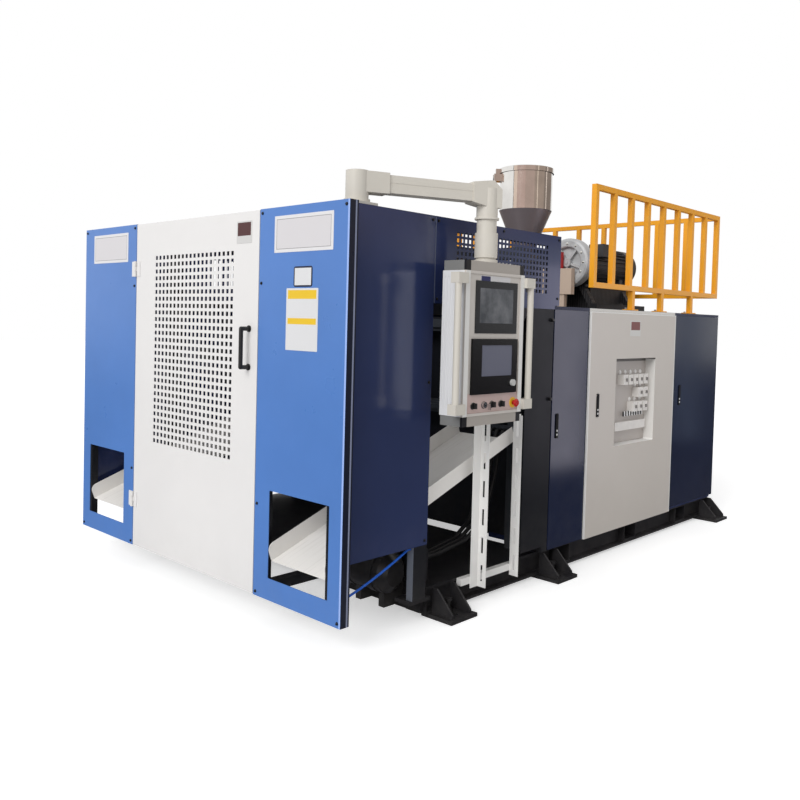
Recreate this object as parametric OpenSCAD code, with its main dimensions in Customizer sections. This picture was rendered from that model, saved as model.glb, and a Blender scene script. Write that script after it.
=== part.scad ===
// Two-station blow moulding machine: guarded moulding bay in front, extruder on a deck behind it,
// electrical cabinet along the right side, and a control pendant on a swing arm.
// X runs to the control side, Y to the rear and Z up. The origin is on the floor, at the middle of
// the rectangle of the four corner anchor holes.

/* [Guard] */
// Width of the front guard
guard_w = 2540; // [2520:5:2560]
// Height of the guard's top edge above the floor
guard_top = 2100; // [2090:1:2110]
// Height of the guard's bottom edge above the floor
guard_bottom = 150; // [145:1:155]
// Length of the guard that stands out ahead of the base
overhang = 700; // [690:5:710]
// Length of the moulding bay, from the guard's front to the cabinet
bay_l = 1785; // [1780:1:1795]
// Width of the front door's opening
door_w = 1220; // [1210:2:1230]
// Thickness of the guard's sheet steel
sheet_t = 3; // [2.5:0.5:4]
// Columns of holes in the front door
door_columns = 20; // [16:1:20]
// Rows of holes in the front door
door_rows = 28; // [20:1:28]
// Width of a square hole in the front door
door_hole = 23; // [18:1:26]
// Width of a square hole in the upper side panel
panel_hole = 20; // [16:1:24]

/* [Base] */
// Length of the welded base
base_l = 3530; // [3510:10:3550]
// Height of the base's top above the floor
base_h = 165; // [160:1:170]
// Thickness of the foot plates
foot_t = 20; // [16:1:24]
// Diameter of the anchor holes in the feet
anchor_d = 26; // [22:1:30]

/* [Cabinet] */
// Height of the cabinet's top above the floor
cabinet_top = 1675; // [1665:1:1685]
// Depth of the electrical cabinet behind its doors
cabinet_depth = 430; // [410:5:450]
// Length of the front blue door
front_leaf_l = 409; // [400:1:415]
// Length of the white door
main_leaf_l = 1234; // [1220:2:1250]

/* [Chutes] */
// Width of a chute inside its walls
chute_w = 416; // [400:2:430]
// Slope of a chute in degrees
chute_slope = 20; // [18:0.5:21]
// Height of a chute's side walls
chute_wall = 85; // [75:1:95]

/* [Extruder] */
// Diameter of the extruder screw
screw_d = 75; // [65:1:80]
// Outer diameter of the barrel
barrel_d = 140; // [130:2:150]
// Outer diameter of the hopper
hopper_d = 432; // [410:2:450]
// Height of the hopper's straight wall
hopper_wall = 335; // [310:5:360]

/* [Clamp] */
// Distance that the two mould carriages shuttle together
shuttle_l = 640; // [600:10:660]
// Distance that each platen moves to open a mould
open_l = 120; // [100:5:130]
// Stroke of the blow pins
blow_stroke = 190; // [180:2:200]

/* [Pendant] */
// Length of the swing arm between its two axes
arm_l = 715; // [705:1:725]
// Angle of the swing arm at rest, from the rear towards the control side
arm_angle = 22.5; // [20:0.5:25]
// Width of the pendant box
pendant_w = 490; // [470:2:500]
// Height of the pendant box
pendant_h = 722; // [700:2:730]
// Depth of the pendant box
pendant_d = 150; // [130:2:160]

/* [Hidden] */
$fn = 48;

// Clearances that the whole machine shares
door_gap = 3;
running_gap = 0.05;
cut = 1;

// Lengths along the machine are counted from the guard's front face
foot_rows = [overhang + 130, bay_l + 45, overhang + base_l - 80];
front_y = -(foot_rows[0] + foot_rows[2]) / 2;
rear_y = overhang + base_l;

// Widths are counted from the middle plane
guard_x = guard_w / 2;
side_x = guard_x - 67;
base_x = side_x - 33;
anchor_x = guard_x;
beam_w = 120;

// Guard frame of square tube
tube = 60;
side_tube = 42;
frame_x = side_x - sheet_t;
post_x = door_w / 2 + door_gap + sheet_t + 1;
column_y = [overhang - 140, overhang - 40];
rear_post_y = [bay_l - 65, bay_l - 5];
ledge_z = [cabinet_top - 80, cabinet_top - 20];
flange_l = 28;
return_l = 54;
side_z = guard_bottom + 260;

// Chutes and their openings
opening_x = [guard_x - 540, guard_x - 92];
opening_z = [guard_bottom + 110, guard_bottom + 550];
chute_x = guard_x - 327;
chute_y = 20;
chute_z = guard_bottom + 195;
chute_t = 3;
chute_l = (bay_l - 330) / cos(chute_slope);
function chute_floor(y) = chute_z + (y - chute_y) * tan(chute_slope);
chute_rests = [column_y[0] + 50, bay_l - 345];
rest_w = 40;

// Front door and its hinges
door_half = door_w / 2 - 2;
door_z = [guard_bottom + door_gap, guard_top - door_gap];
hinge_x = -door_w / 2 - 1;
hinge_r = 9;
hinge_pin_r = 4;
hinge_h = 90;
hinge_rows = [guard_bottom + 285, guard_top - 269];
leaf_t = 4;

// Clamp frame, shuttle and moulds
station_y = bay_l - 605;
clamp_y = [bay_l - 145, bay_l - 65];
clamp_x = [base_x - 190, base_x - 110];
rail_z = [1000, 1540];
rail_h = 30;
rail_t = 25;
mould_z = [1100, 1540];
mould_mid = (mould_z[0] + mould_z[1]) / 2;
mould_t = 170;
platen_t = 40;
platen_w = 380;
tie_r = 20;
tie_x = 150;
tie_z = 180;
mould_gap = 1;
yoke_y = station_y - 430;
yoke_t = 30;
carriage_y = clamp_y[0] - 70;
blow_r = 12;
blow_tip_z = mould_z[1] + 150;
bridge_z = [guard_top - 140, guard_top - 70];

// Extruder on the deck
axis_z = cabinet_top + 315;
deck_t = 20;
throat_y = [rear_y - 1220, rear_y - 940];
hopper_y = rear_y - 1080;
barrel_y = station_y + 150;
hopper_base_z = axis_z + 140;
hopper_flange = 14;
hopper_cone = 350;
hopper_r = hopper_d / 2;
hopper_t = 2;
hopper_top = hopper_flange + hopper_cone + hopper_wall;
feed_r = 60;
lid_turn = -45;
lid_hinge_r = hopper_r + 40;
lid_pin_r = 5;
lid_pin_z = hopper_top - 54;

// Cabinet
door_t = 23;
cabinet_x = side_x - door_t;
leaf_edges = [bay_l, bay_l + front_leaf_l, bay_l + front_leaf_l + main_leaf_l, rear_y];
cabinet_z = [base_h + 5, cabinet_top - deck_t];
lock_h = 150;
lock_w = 26;
lock_inset = [43, 102, 104];
lock_z = [860, 962, 972];
lock_proud = 6;
lock_pivot = 140;
lock_pin_r = 3;
window_y = [leaf_edges[1] + 351, leaf_edges[1] + 921];
window_z = [743, 1341];
window_depth = 80;
main_proud = 10;
leaf_proud = [0, main_proud, 0];
leaf_gap = 2;
leaf_pin_inset = 8;
leaf_pin_r = 4;
leaf_hinge_z = [cabinet_z[0] + 200, cabinet_z[1] - 200];

// Blower on its stand
blower_x = 475;
blower_z = cabinet_top + 375;
blower_y = rear_y - 1180;
blower_r = 190;
motor_r = 142;
motor_y = [blower_y + 110, blower_y + 850];
stand_z = blower_z - 165;

// Railing of square tube
rail_tube = 36;
railing_x = side_x - 35;
railing_y = [bay_l + 490, rear_y - 20];
railing_z = [cabinet_top + 155, cabinet_top + 794];

// Swing arm and pendant
arm_x = side_x - 103;
arm_y = 200;
arm_z = guard_top + 120;
arm_post_top = guard_top + 18;
arm_pin_r = 24;
arm_thrust = 2;
neck_x = arm_x + arm_l * sin(arm_angle);
neck_y = arm_y + arm_l * cos(arm_angle);
neck_top = guard_top - 12;
neck_r = 55;
spigot_r = 30;
pendant_top = guard_top - 283;
pendant_bottom = pendant_top - pendant_h;
cap_h = 50;
face_x = neck_x + pendant_d / 2;
switch_z = pendant_bottom + 52;
switch_r = 14;
switch_stem_r = 8;
switch_spacing = [-162, -73, -8, 68];
estop_y = 176;
estop_travel = 5;
ring_t = 4;

// Air receiver below the guard
receiver_r = 105;
receiver_y = overhang - 145;
receiver_z = 245;
receiver_x = [post_x + tube + 23, guard_x - 185];
port_x = receiver_x[1] - 45;

// Routes of the hoses and the air tube, from port to port
hose_r = 13;
hose_port_y = clamp_y[0];
hose_routes = [for (i = [0:2]) [
    [base_x - 180 - 45 * i, hose_port_y - 20, 900],
    [base_x - 180 - 45 * i, hose_port_y - 60, 900],
    [base_x - 172 - 45 * i, hose_port_y - 105, 820],
    [base_x - 165 - 44 * i, hose_port_y - 140, 680],
    [base_x - 155 - 42 * i, hose_port_y - 210, 520],
    [base_x - 140 - 40 * i, hose_port_y - 320, 380],
    [base_x - 125 - 38 * i, hose_port_y - 470, 310],
    [base_x - 115 - 36 * i, overhang + 210, 280],
    [base_x - 115 - 36 * i, overhang + 140, 280],
    [base_x - 115 - 36 * i, overhang + 100, 280]]];
air_r = 6;
air_x = frame_x - side_tube / 2;
air_y = [sheet_t + side_tube, column_y[0]];
air_z = [side_z - 178, side_z - 12];
air_sag = 14;
air_end = 0.04;
air_route = [for (share = [0, air_end, 0.15, 0.3, 0.45, 0.6, 0.75, 0.88, 1 - air_end, 1])
    let (run = min(max((share - air_end) / (1 - 2 * air_end), 0), 1))
    [air_x, air_y[0] + share * (air_y[1] - air_y[0]),
        air_z[0] + run * (air_z[1] - air_z[0]) - 4 * air_sag * run * (1 - run)]];

// Box between two values on each axis
module block(x, y, z) {
    translate([x[0], y[0], z[0]]) cube([x[1] - x[0], y[1] - y[0], z[1] - z[0]]);
}

// Moves lengths counted from the guard's front into the part's frame
module placed() {
    translate([0, front_y, 0]) children();
}

// The same shape on the control side and on the other side
module both_sides() {
    children();
    mirror([1, 0, 0]) children();
}

// Round bar along Y
module bar_y(x, z, y, r) {
    translate([x, y[0], z]) rotate([-90, 0, 0]) cylinder(r = r, h = y[1] - y[0]);
}

// Round bar along X
module bar_x(y, z, x, r) {
    translate([x[0], y, z]) rotate([0, 90, 0]) cylinder(r = r, h = x[1] - x[0]);
}

// Folded sheet facing +X, with flanges bent inwards on all four edges
module side_pan(x, y, z, depth, t) {
    difference() {
        block([x - depth, x], y, z);
        block([x - depth - cut, x - t], [y[0] + t, y[1] - t], [z[0] + t, z[1] - t]);
    }
}

// Direction between two points, and the sides of a tube's ring there
function unit(v) = v / norm(v);
function heading(route, i) =
    unit(route[min(i + 1, len(route) - 1)] - route[max(i - 1, 0)]);
function across(d) = unit(cross(d, [0.8, 0.1, 0.6]));
function ring(route, i, r, sides) =
    let (d = heading(route, i), u = across(d), v = cross(d, u))
    [for (k = [0:sides - 1]) route[i] + r * (cos(360 * k / sides) * u + sin(360 * k / sides) * v)];

// Tube along a route of points
module route_tube(route, r, sides) {
    n = len(route);
    points = [for (i = [0:n - 1]) each ring(route, i, r, sides)];
    walls = [for (i = [0:n - 2], k = [0:sides - 1])
        [i * sides + k, i * sides + (k + 1) % sides, (i + 1) * sides + (k + 1) % sides, (i + 1) * sides + k]];
    start = [for (k = [0:sides - 1]) sides - 1 - k];
    end = [for (k = [0:sides - 1]) (n - 1) * sides + k];
    polyhedron(points, concat([start], walls, [end]));
}

// Welded base: side channels with fork sleeves, cross beams, the bay's drip tray, and brackets
module base_frame() {
    fork_rows = [bay_l + 230, rear_y - 1325, rear_y - 515];
    fork_w = 155;
    fork_z = [foot_t + 25, base_h - 15];
    cross_rows = [overhang, clamp_y[0] - 40, bay_l + 515, rear_y - 1030, rear_y - beam_w];
    bracket_t = 20;
    bracket_z = base_h - 35;
    hose_plate_z = 340;
    hose_plate_t = 40;
    tray_t = 4;
    channel = 45;
    lip = 14;
    sleeve_t = 8;
    color("#2c2e33") placed() {
        difference() {
            union() {
                both_sides() difference() {
                    block([base_x - beam_w, base_x], [overhang, rear_y], [foot_t, base_h]);
                    block([base_x - channel, base_x + cut], [overhang + sleeve_t, rear_y - sleeve_t],
                        [foot_t + lip, base_h - lip]);
                }
                both_sides() for (y = fork_rows)
                    block([base_x - channel - 1, base_x - 1],
                        [y - fork_w / 2 - sleeve_t, y + fork_w / 2 + sleeve_t], [foot_t, base_h]);
                for (y = cross_rows)
                    block([beam_w - base_x, base_x - beam_w], [y, y + beam_w], [foot_t, base_h]);
                block([beam_w - base_x, base_x - beam_w], [overhang + beam_w, cross_rows[1]],
                    [base_h - tray_t, base_h]);
                both_sides() block([frame_x - 110, frame_x], [column_y[0] - 15, overhang],
                    [bracket_z - bracket_t, bracket_z]);
                both_sides() block([base_x - beam_w, base_x - 20], [overhang - 25, overhang],
                    [foot_t + 10, bracket_z]);
                block([base_x - 250, base_x - 80], [overhang + 60, overhang + 60 + hose_plate_t],
                    [base_h, hose_plate_z]);
            }
            for (y = fork_rows)
                block([-base_x - cut, base_x + cut], [y - fork_w / 2, y + fork_w / 2], fork_z);
        }
    }
}

// One foot: a plate under the beam, two gussets and a jack bolt
module foot() {
    plate_x = [base_x - 50, base_x + 160];
    plate_l = 214;
    jack_x = base_x + 45;
    jack_r = 12;
    gusset_t = 12;
    gusset_y = 74;
    difference() {
        union() {
            block(plate_x, [-plate_l / 2, plate_l / 2], [0, foot_t]);
            for (y = [-gusset_y, gusset_y])
                translate([base_x, y + gusset_t / 2, foot_t]) rotate([90, 0, 0]) linear_extrude(gusset_t)
                    polygon([[0, 0], [140, 0], [140, 20], [30, base_h - foot_t - 10],
                        [0, base_h - foot_t - 10]]);
        }
        translate([anchor_x, 0, -cut]) cylinder(d = anchor_d, h = foot_t + 2 * cut);
        translate([jack_x, 0, -cut]) cylinder(r = jack_r + running_gap, h = foot_t + 2 * cut);
    }
    translate([jack_x, 0, 0]) cylinder(r = jack_r, h = foot_t + 60);
    translate([jack_x, 0, foot_t]) cylinder(r = 21, h = 18, $fn = 6);
    translate([jack_x, 0, foot_t + 60]) cylinder(r = 21, h = 15, $fn = 6);
}

module levelling_feet() {
    color("#3a3d42") placed() both_sides() for (y = foot_rows) translate([0, y, 0]) foot();
}

// Square tube frame that carries the guard's panels, the bay's rear sheet, and the arm's post
module guard_frame() {
    front = [sheet_t, sheet_t + tube];
    top = [guard_top - sheet_t - 2 - tube, guard_top - sheet_t - 2];
    low = [guard_bottom + sheet_t + 2, guard_bottom + sheet_t + 52];
    side = [frame_x - side_tube, frame_x];
    infill_y = [bay_l - 285, rear_post_y[0]];
    bracket_z = base_h - 35;
    color("#303238") placed() {
        union() {
            block([-post_x, post_x], [flange_l + 5, front[1]], top);
            both_sides() {
                block([post_x, frame_x], front, top);
                block([post_x, post_x + tube], front, [low[0], top[0]]);
                block(side, [front[0], front[0] + side_tube], [low[0], top[0]]);
                block([post_x + tube, side[0]], front, low);
                block([post_x, post_x + tube], [front[1], overhang + beam_w], [base_h, base_h + 50]);
                block(side, [front[1], rear_post_y[1]], top);
                block(side, column_y, [bracket_z, top[0]]);
                block(side, rear_post_y, [base_h, top[0]]);
                block(side, [column_y[1], rear_post_y[0]], ledge_z);
                chute_rest(chute_rests[0], post_x, side[0] + 1);
                block([post_x, post_x + tube], [chute_rests[0] - 30, chute_rests[0] + 30],
                    [base_h + 45, chute_floor(chute_rests[0]) - 30]);
            }
            block([frame_x - sheet_t, frame_x], infill_y, [base_h + 35, ledge_z[0]]);
            block([-frame_x, sheet_t - frame_x], [column_y[1], rear_post_y[0]], [base_h + 35, side_z + 40]);
            block([side_tube - frame_x, frame_x - side_tube], [rear_post_y[1] - sheet_t, rear_post_y[1]],
                [base_h + 35, ledge_z[0]]);
            block([arm_x - 60, side_x - flange_l - 1], [arm_y - 70, arm_y + 70], [top[0], arm_post_top]);
            translate([arm_x, arm_y, arm_post_top]) cylinder(r = arm_pin_r, h = 140);
        }
    }
}

// Sloped bar that a chute lies on
module chute_rest(y, x0, x1) {
    translate([0, y, chute_floor(y)]) rotate([chute_slope, 0, 0])
        block([x0, x1], [-rest_w / 2, rest_w / 2], [-rest_w - chute_t, -chute_t]);
}

// Blue panel beside the door, folded on all edges, with its chute opening
module front_panel() {
    x = [door_w / 2 + door_gap, guard_x];
    z = [guard_bottom, guard_top];
    difference() {
        union() {
            block(x, [0, sheet_t], z);
            block([x[1] - sheet_t, x[1]], [0, return_l], z);
            block([x[0], x[0] + sheet_t], [0, flange_l], z);
            block(x, [0, flange_l], [z[1] - sheet_t, z[1]]);
            block(x, [0, flange_l], [z[0], z[0] + sheet_t]);
        }
        block(opening_x, [-cut, sheet_t + cut], opening_z);
    }
}

module front_panel_right() {
    color("#4d7fc4") placed() front_panel();
}

module front_panel_left() {
    color("#4d7fc4") placed() mirror([1, 0, 0]) front_panel();
}

module side_panel_right() {
    y = [return_l + door_gap, column_y[1] - 1];
    color("#262f5a") placed() union() {
        block([side_x - sheet_t, side_x], y, [side_z, guard_top]);
        block([side_x - flange_l, side_x], [y[0], y[0] + sheet_t], [side_z, guard_top - tube - 10]);
        block([side_x - flange_l, side_x], [y[0], column_y[0] - 5], [side_z, side_z + sheet_t]);
        block([side_x - flange_l, side_x], y, [guard_top - sheet_t, guard_top]);
    }
}

// Navy panel above the side opening, with a field of square holes
module upper_panel_right() {
    y = [column_y[1] + 1, rear_post_y[1] + 50];
    z = [ledge_z[1], guard_top];
    columns = 26;
    rows = 9;
    pitch = 33.5;
    first_y = y[0] + 172;
    first_z = z[0] + 92;
    color("#262f5a") placed() difference() {
        block([side_x - sheet_t, side_x], y, z);
        block([side_x - sheet_t - cut, side_x + cut], [bay_l - 3, y[1] + cut], [z[0] - cut, cabinet_top + 2]);
        for (i = [0:columns - 1], j = [0:rows - 1])
            translate([side_x - sheet_t - cut, first_y + i * pitch, first_z + j * pitch])
                cube([sheet_t + 2 * cut, panel_hole, panel_hole]);
    }
}

// Plain cover of the bay's other side
module left_side_cover() {
    color("#262f5a") placed() mirror([1, 0, 0]) difference() {
        block([side_x - sheet_t, side_x], [return_l + door_gap, rear_post_y[1]], [side_z, guard_top]);
        for (i = [0:11])
            block([side_x - sheet_t - cut, side_x + cut], [bay_l - 900 + i * 50, bay_l - 876 + i * 50],
                [guard_top - 330, guard_top - 130]);
    }
}

// Side wall of a chute, with its lower front corner rounded
module chute_side(length, height, r) {
    rotate([90, 0, 90]) linear_extrude(chute_t) union() {
        square([length, height - r]);
        translate([r, 0]) square([length - r, height]);
        translate([r, height - r]) circle(r);
    }
}

module chute() {
    corner_r = 40;
    half = chute_w / 2;
    translate([chute_x, chute_y, chute_z]) rotate([chute_slope, 0, 0]) union() {
        block([-half - chute_t, half + chute_t], [0, chute_l], [-chute_t, 0]);
        for (x = [-half - chute_t, half])
            translate([x, 0, -chute_t]) chute_side(chute_l, chute_wall + chute_t, corner_r);
    }
}

module chute_right() {
    color("#e9e6df") placed() chute();
}

module chute_left() {
    color("#e9e6df") placed() mirror([1, 0, 0]) chute();
}

// Fixed leaves of the front door's hinges, each with two knuckles and the pin
module door_hinges() {
    third = hinge_h / 3;
    color("#e8e6e1") placed() for (z = hinge_rows) translate([0, 0, z - hinge_h / 2]) {
        block([hinge_x - 47, hinge_x - 11], [-leaf_t, 0], [0, hinge_h]);
        for (k = [0, 2]) {
            block([hinge_x - 12, hinge_x], [-leaf_t - 2, -0.5], [k * third, (k + 1) * third]);
            translate([hinge_x, -hinge_r, k * third]) cylinder(r = hinge_r, h = third);
        }
        translate([hinge_x, -hinge_r, -2]) cylinder(r = hinge_pin_r, h = hinge_h + 4);
    }
}

// White front door: a folded sheet with a field of square holes and its hinge knuckles
module front_door() {
    field_w = 756;
    field_z = [guard_bottom + 670, guard_top - 210];
    pitch_x = field_w / (door_columns - 1);
    pitch_z = (field_z[1] - field_z[0]) / (door_rows - 1);
    third = hinge_h / 3;
    knuckle_gap = 1;
    color("#efedea") placed() {
        difference() {
            union() {
                rotate([90, 0, 0]) translate([0, 0, -sheet_t]) linear_extrude(sheet_t) difference() {
                    translate([-door_half, door_z[0]]) square([2 * door_half, door_z[1] - door_z[0]]);
                    for (i = [0:door_columns - 1], j = [0:door_rows - 1])
                        translate([i * pitch_x - field_w / 2, field_z[0] + j * pitch_z])
                            square(door_hole, center = true);
                }
                for (x = [-door_half, door_half - sheet_t])
                    block([x, x + sheet_t], [0, flange_l - 4], door_z);
                for (z = [door_z[0], door_z[1] - sheet_t])
                    block([-door_half, door_half], [0, flange_l - 4], [z, z + sheet_t]);
                for (z = hinge_rows) translate([0, 0, z - hinge_h / 2 + third]) {
                    block([hinge_x + 11, hinge_x + 46], [-leaf_t, 0], [-third, 2 * third]);
                    block([hinge_x, hinge_x + 12], [-leaf_t - 2, -0.5], [knuckle_gap, third - knuckle_gap]);
                    translate([hinge_x, -hinge_r, knuckle_gap])
                        cylinder(r = hinge_r, h = third - 2 * knuckle_gap);
                }
            }
            for (z = hinge_rows) translate([hinge_x, -hinge_r, z - hinge_h / 2])
                cylinder(r = hinge_pin_r + running_gap, h = hinge_h);
        }
    }
}

// Tubular pull handle on the front door
module door_handle() {
    handle_x = door_half - 71;
    handle_z = [guard_bottom + 1154, guard_bottom + 1350];
    proud = 50;
    r = 11;
    color("#1c1c1e") placed() union() {
        for (z = handle_z) {
            bar_y(handle_x, z, [-proud, 0], r);
            bar_y(handle_x, z, [-5, 0], r + 6);
            translate([handle_x, -proud, z]) sphere(r);
        }
        translate([handle_x, -proud, handle_z[0]]) cylinder(r = r, h = handle_z[1] - handle_z[0]);
    }
}

// White slotted angles that stand on a crossbar beside the side opening
module slotted_stand() {
    upright_z = [100, pendant_bottom - 60];
    flange = 66;
    fin = 60;
    t = 4;
    bar_x1 = side_x;
    corners = [[bay_l - 695, -1], [bay_l - 395, 1]];
    slot_w = 14;
    slot_l = 90;
    slots = 6;
    slot_pitch = (upright_z[1] - upright_z[0]) / slots;
    color("#ecebe6") placed() union() {
        block([base_x, bar_x1], [bay_l - 835, bay_l - 305], [base_h - 39, base_h]);
        for (c = corners) translate([bar_x1, c[0], 0]) mirror([0, c[1] < 0 ? 1 : 0, 0]) difference() {
            union() {
                block([0, t], [0, flange], upright_z);
                block([0, fin], [0, t], upright_z);
            }
            for (i = [0:slots - 1]) {
                low = upright_z[0] + (i + 0.5) * slot_pitch - slot_l / 2;
                block([fin / 2 - slot_w / 2, fin / 2 + slot_w / 2], [-cut, t + cut], [low, low + slot_l]);
            }
        }
    }
}

// Frame behind the moulds: columns, beams, shuttle rails, and the blow cylinders on their brackets
module clamp_frame() {
    beam_h = 80;
    column_top = bridge_z[1];
    bracket_w = 160;
    cylinder_r = 36;
    cylinder_z = [blow_tip_z + 50, bridge_z[0]];
    color("#3d4148") placed() difference() {
        union() {
            both_sides() {
                block(clamp_x, clamp_y, [base_h, column_top]);
                block([shuttle_l - bracket_w / 2, clamp_x[0]], clamp_y, bridge_z);
                block([shuttle_l - bracket_w / 2, shuttle_l + bracket_w / 2],
                    [station_y - 70, clamp_y[1]], bridge_z);
                translate([shuttle_l, station_y, cylinder_z[0]])
                    cylinder(r = cylinder_r, h = cylinder_z[1] - cylinder_z[0]);
                chute_rest(chute_rests[1], chute_x - chute_w / 2 - 20, clamp_x[1]);
                block([clamp_x[1] - 40, clamp_x[1]], [chute_rests[1] - 20, clamp_y[0]],
                    [chute_floor(chute_rests[1]) - 50, chute_floor(chute_rests[1]) - 14]);
            }
            for (z = rail_z) {
                block([-clamp_x[0], clamp_x[0]], clamp_y, [z - beam_h / 2, z + beam_h / 2]);
                block([-clamp_x[0], clamp_x[0]], [clamp_y[0] - rail_t, clamp_y[0]],
                    [z - rail_h / 2, z + rail_h / 2]);
            }
            block([base_x - 300, base_x - 110], [hose_port_y - 20, hose_port_y], [870, 930]);
        }
        both_sides() translate([shuttle_l, station_y, cylinder_z[0] - cut])
            cylinder(r = blow_r + running_gap, h = cylinder_z[1] - cylinder_z[0] + cut - 2);
    }
}

// Carriage: back plate with rail blocks, four tie bars, end yoke and clamp cylinder
module carriage(x) {
    half = platen_w / 2;
    block_h = 80;
    slide_gap = 0.5;
    rod_r = 22;
    cylinder_r = 48;
    color("#565b63") placed() translate([x, 0, 0]) difference() {
        union() {
            block([-half + 20, half - 20], [carriage_y, carriage_y + 30],
                [rail_z[0] - block_h / 2, rail_z[1] + block_h / 2]);
            for (z = rail_z)
                block([-half + 20, half - 20], [carriage_y + 30, clamp_y[0] - 2],
                    [z - block_h / 2, z + block_h / 2]);
            for (sx = [-1, 1], sz = [-1, 1])
                bar_y(sx * tie_x, mould_mid + sz * tie_z, [yoke_y, carriage_y], tie_r);
            block([-half, half], [yoke_y, yoke_y + yoke_t], [mould_z[0] - 10, mould_z[1] + 10]);
            bar_y(0, mould_mid, [yoke_y - 260, yoke_y], cylinder_r);
        }
        for (z = rail_z)
            block([-half, half], [clamp_y[0] - rail_t - slide_gap, clamp_y[0] + cut],
                [z - rail_h / 2 - slide_gap, z + rail_h / 2 + slide_gap]);
        bar_y(0, mould_mid, [yoke_y - 250, yoke_y + yoke_t + cut], rod_r + running_gap);
    }
}

module carriage_left() {
    carriage(-shuttle_l);
}

module carriage_right() {
    carriage(0);
}

// Platen with its mould half. side is -1 for the front half, which carries the clamp rod.
module platen(x, side) {
    half = platen_w / 2;
    mould_w = 300;
    rod_r = 22;
    rod_l = 330;
    body_r = 58;
    neck_hole_r = 24;
    color("#8d929a") placed() translate([x, station_y, 0]) {
        difference() {
            union() {
                mirror([0, side < 0 ? 1 : 0, 0]) {
                    block([-half, half], [mould_t, mould_t + platen_t], mould_z);
                    block([-mould_w / 2, mould_w / 2], [mould_gap / 2, mould_t], mould_z);
                }
                if (side < 0) bar_y(0, mould_mid, [-mould_t - platen_t - rod_l, -mould_t - platen_t], rod_r);
            }
            for (sx = [-1, 1], sz = [-1, 1])
                bar_y(sx * tie_x, mould_mid + sz * tie_z, [-mould_t * 2, mould_t * 2], tie_r + running_gap);
            translate([0, 0, mould_z[0] + 60]) rotate_extrude()
                polygon([[0, 0], [body_r, 0], [body_r, 230], [neck_hole_r, 290], [neck_hole_r, 381],
                    [0, 381]]);
        }
    }
}

module platen_front_left() {
    platen(-shuttle_l, -1);
}

module platen_rear_left() {
    platen(-shuttle_l, 1);
}

module platen_front_right() {
    platen(0, -1);
}

module platen_rear_right() {
    platen(0, 1);
}

// Blow pin with its rod, which slides in the blow cylinder
module blow_pin(x) {
    color("#c4c8cc") placed() translate([x, station_y, 0]) union() {
        translate([0, 0, blow_tip_z]) cylinder(r = blow_r, h = bridge_z[0] - blow_tip_z - 5);
        translate([0, 0, blow_tip_z - 6]) cylinder(r1 = blow_r - 5, r2 = blow_r, h = 6);
    }
}

module blow_pin_left() {
    blow_pin(-shuttle_l);
}

module blow_pin_right() {
    blow_pin(shuttle_l);
}

// Die head hanging at the end of the barrel
module die_head() {
    head_r = 118;
    color("#9a9ea3") placed() union() {
        translate([0, station_y, axis_z - 270]) rotate_extrude()
            polygon([[0, 0], [62, 0], [70, 50], [head_r, 90], [head_r, 380], [90, 400], [0, 400]]);
        bar_y(0, axis_z, [station_y, barrel_y - 30], 62);
        bar_y(0, axis_z, [barrel_y - 30, barrel_y], barrel_d / 2 + 25);
    }
}

// Barrel with end flanges, its heater bands, and the bore that the screw turns in
module extruder_barrel() {
    bands = 6;
    band_l = 170;
    band_t = 22;
    pitch = (throat_y[0] - barrel_y - 120) / bands;
    flange_r = barrel_d / 2 + 25;
    color("#9a9ea2") placed() difference() {
        union() {
            bar_y(0, axis_z, [barrel_y, throat_y[0]], barrel_d / 2);
            bar_y(0, axis_z, [barrel_y, barrel_y + 30], flange_r);
            bar_y(0, axis_z, [throat_y[0] - 30, throat_y[0]], flange_r);
            for (i = [0:bands - 1]) {
                start = barrel_y + 60 + i * pitch;
                bar_y(0, axis_z, [start, start + band_l], barrel_d / 2 + band_t);
                block([-18, 18], [start + 50, start + 120], [axis_z, axis_z + barrel_d / 2 + band_t + 28]);
            }
        }
        bar_y(0, axis_z, [barrel_y + 20, throat_y[0] + cut], screw_d / 2 + 0.1);
    }
}

// Screw: shank, core and flights drawn as rings at the flights' pitch
module extruder_screw() {
    flight_r = screw_d / 2;
    core_r = flight_r * 0.68;
    pitch = screw_d;
    flight_t = 9;
    start = barrel_y + 30;
    length = throat_y[1] - start + 15;
    flights = floor((length - 60) / pitch);
    color("#a8acb0") placed() translate([0, start, axis_z]) rotate([-90, 0, 0]) rotate_extrude()
        polygon(concat(
            [[0, 0], [core_r, 0]],
            [for (i = [0:flights - 1], p = [[core_r, 20], [flight_r, 20], [flight_r, 20 + flight_t],
                [core_r, 20 + flight_t]]) [p[0], p[1] + i * pitch]],
            [[core_r, length], [0, length]]));
}

// Feed block between barrel and gearbox, with the hopper's throat
module feed_throat() {
    half = 130;
    color("#5d6168") placed() difference() {
        union() {
            block([-half, half], throat_y, [axis_z - 150, hopper_base_z]);
            block([-half + 20, half - 20], [throat_y[0] + 20, throat_y[1] - 20], [cabinet_top, axis_z - 150]);
        }
        bar_y(0, axis_z, [throat_y[0] - cut, throat_y[1] + cut], screw_d / 2 + 0.1);
        translate([0, hopper_y, axis_z]) cylinder(r = feed_r, h = hopper_base_z - axis_z + cut);
    }
}

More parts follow.
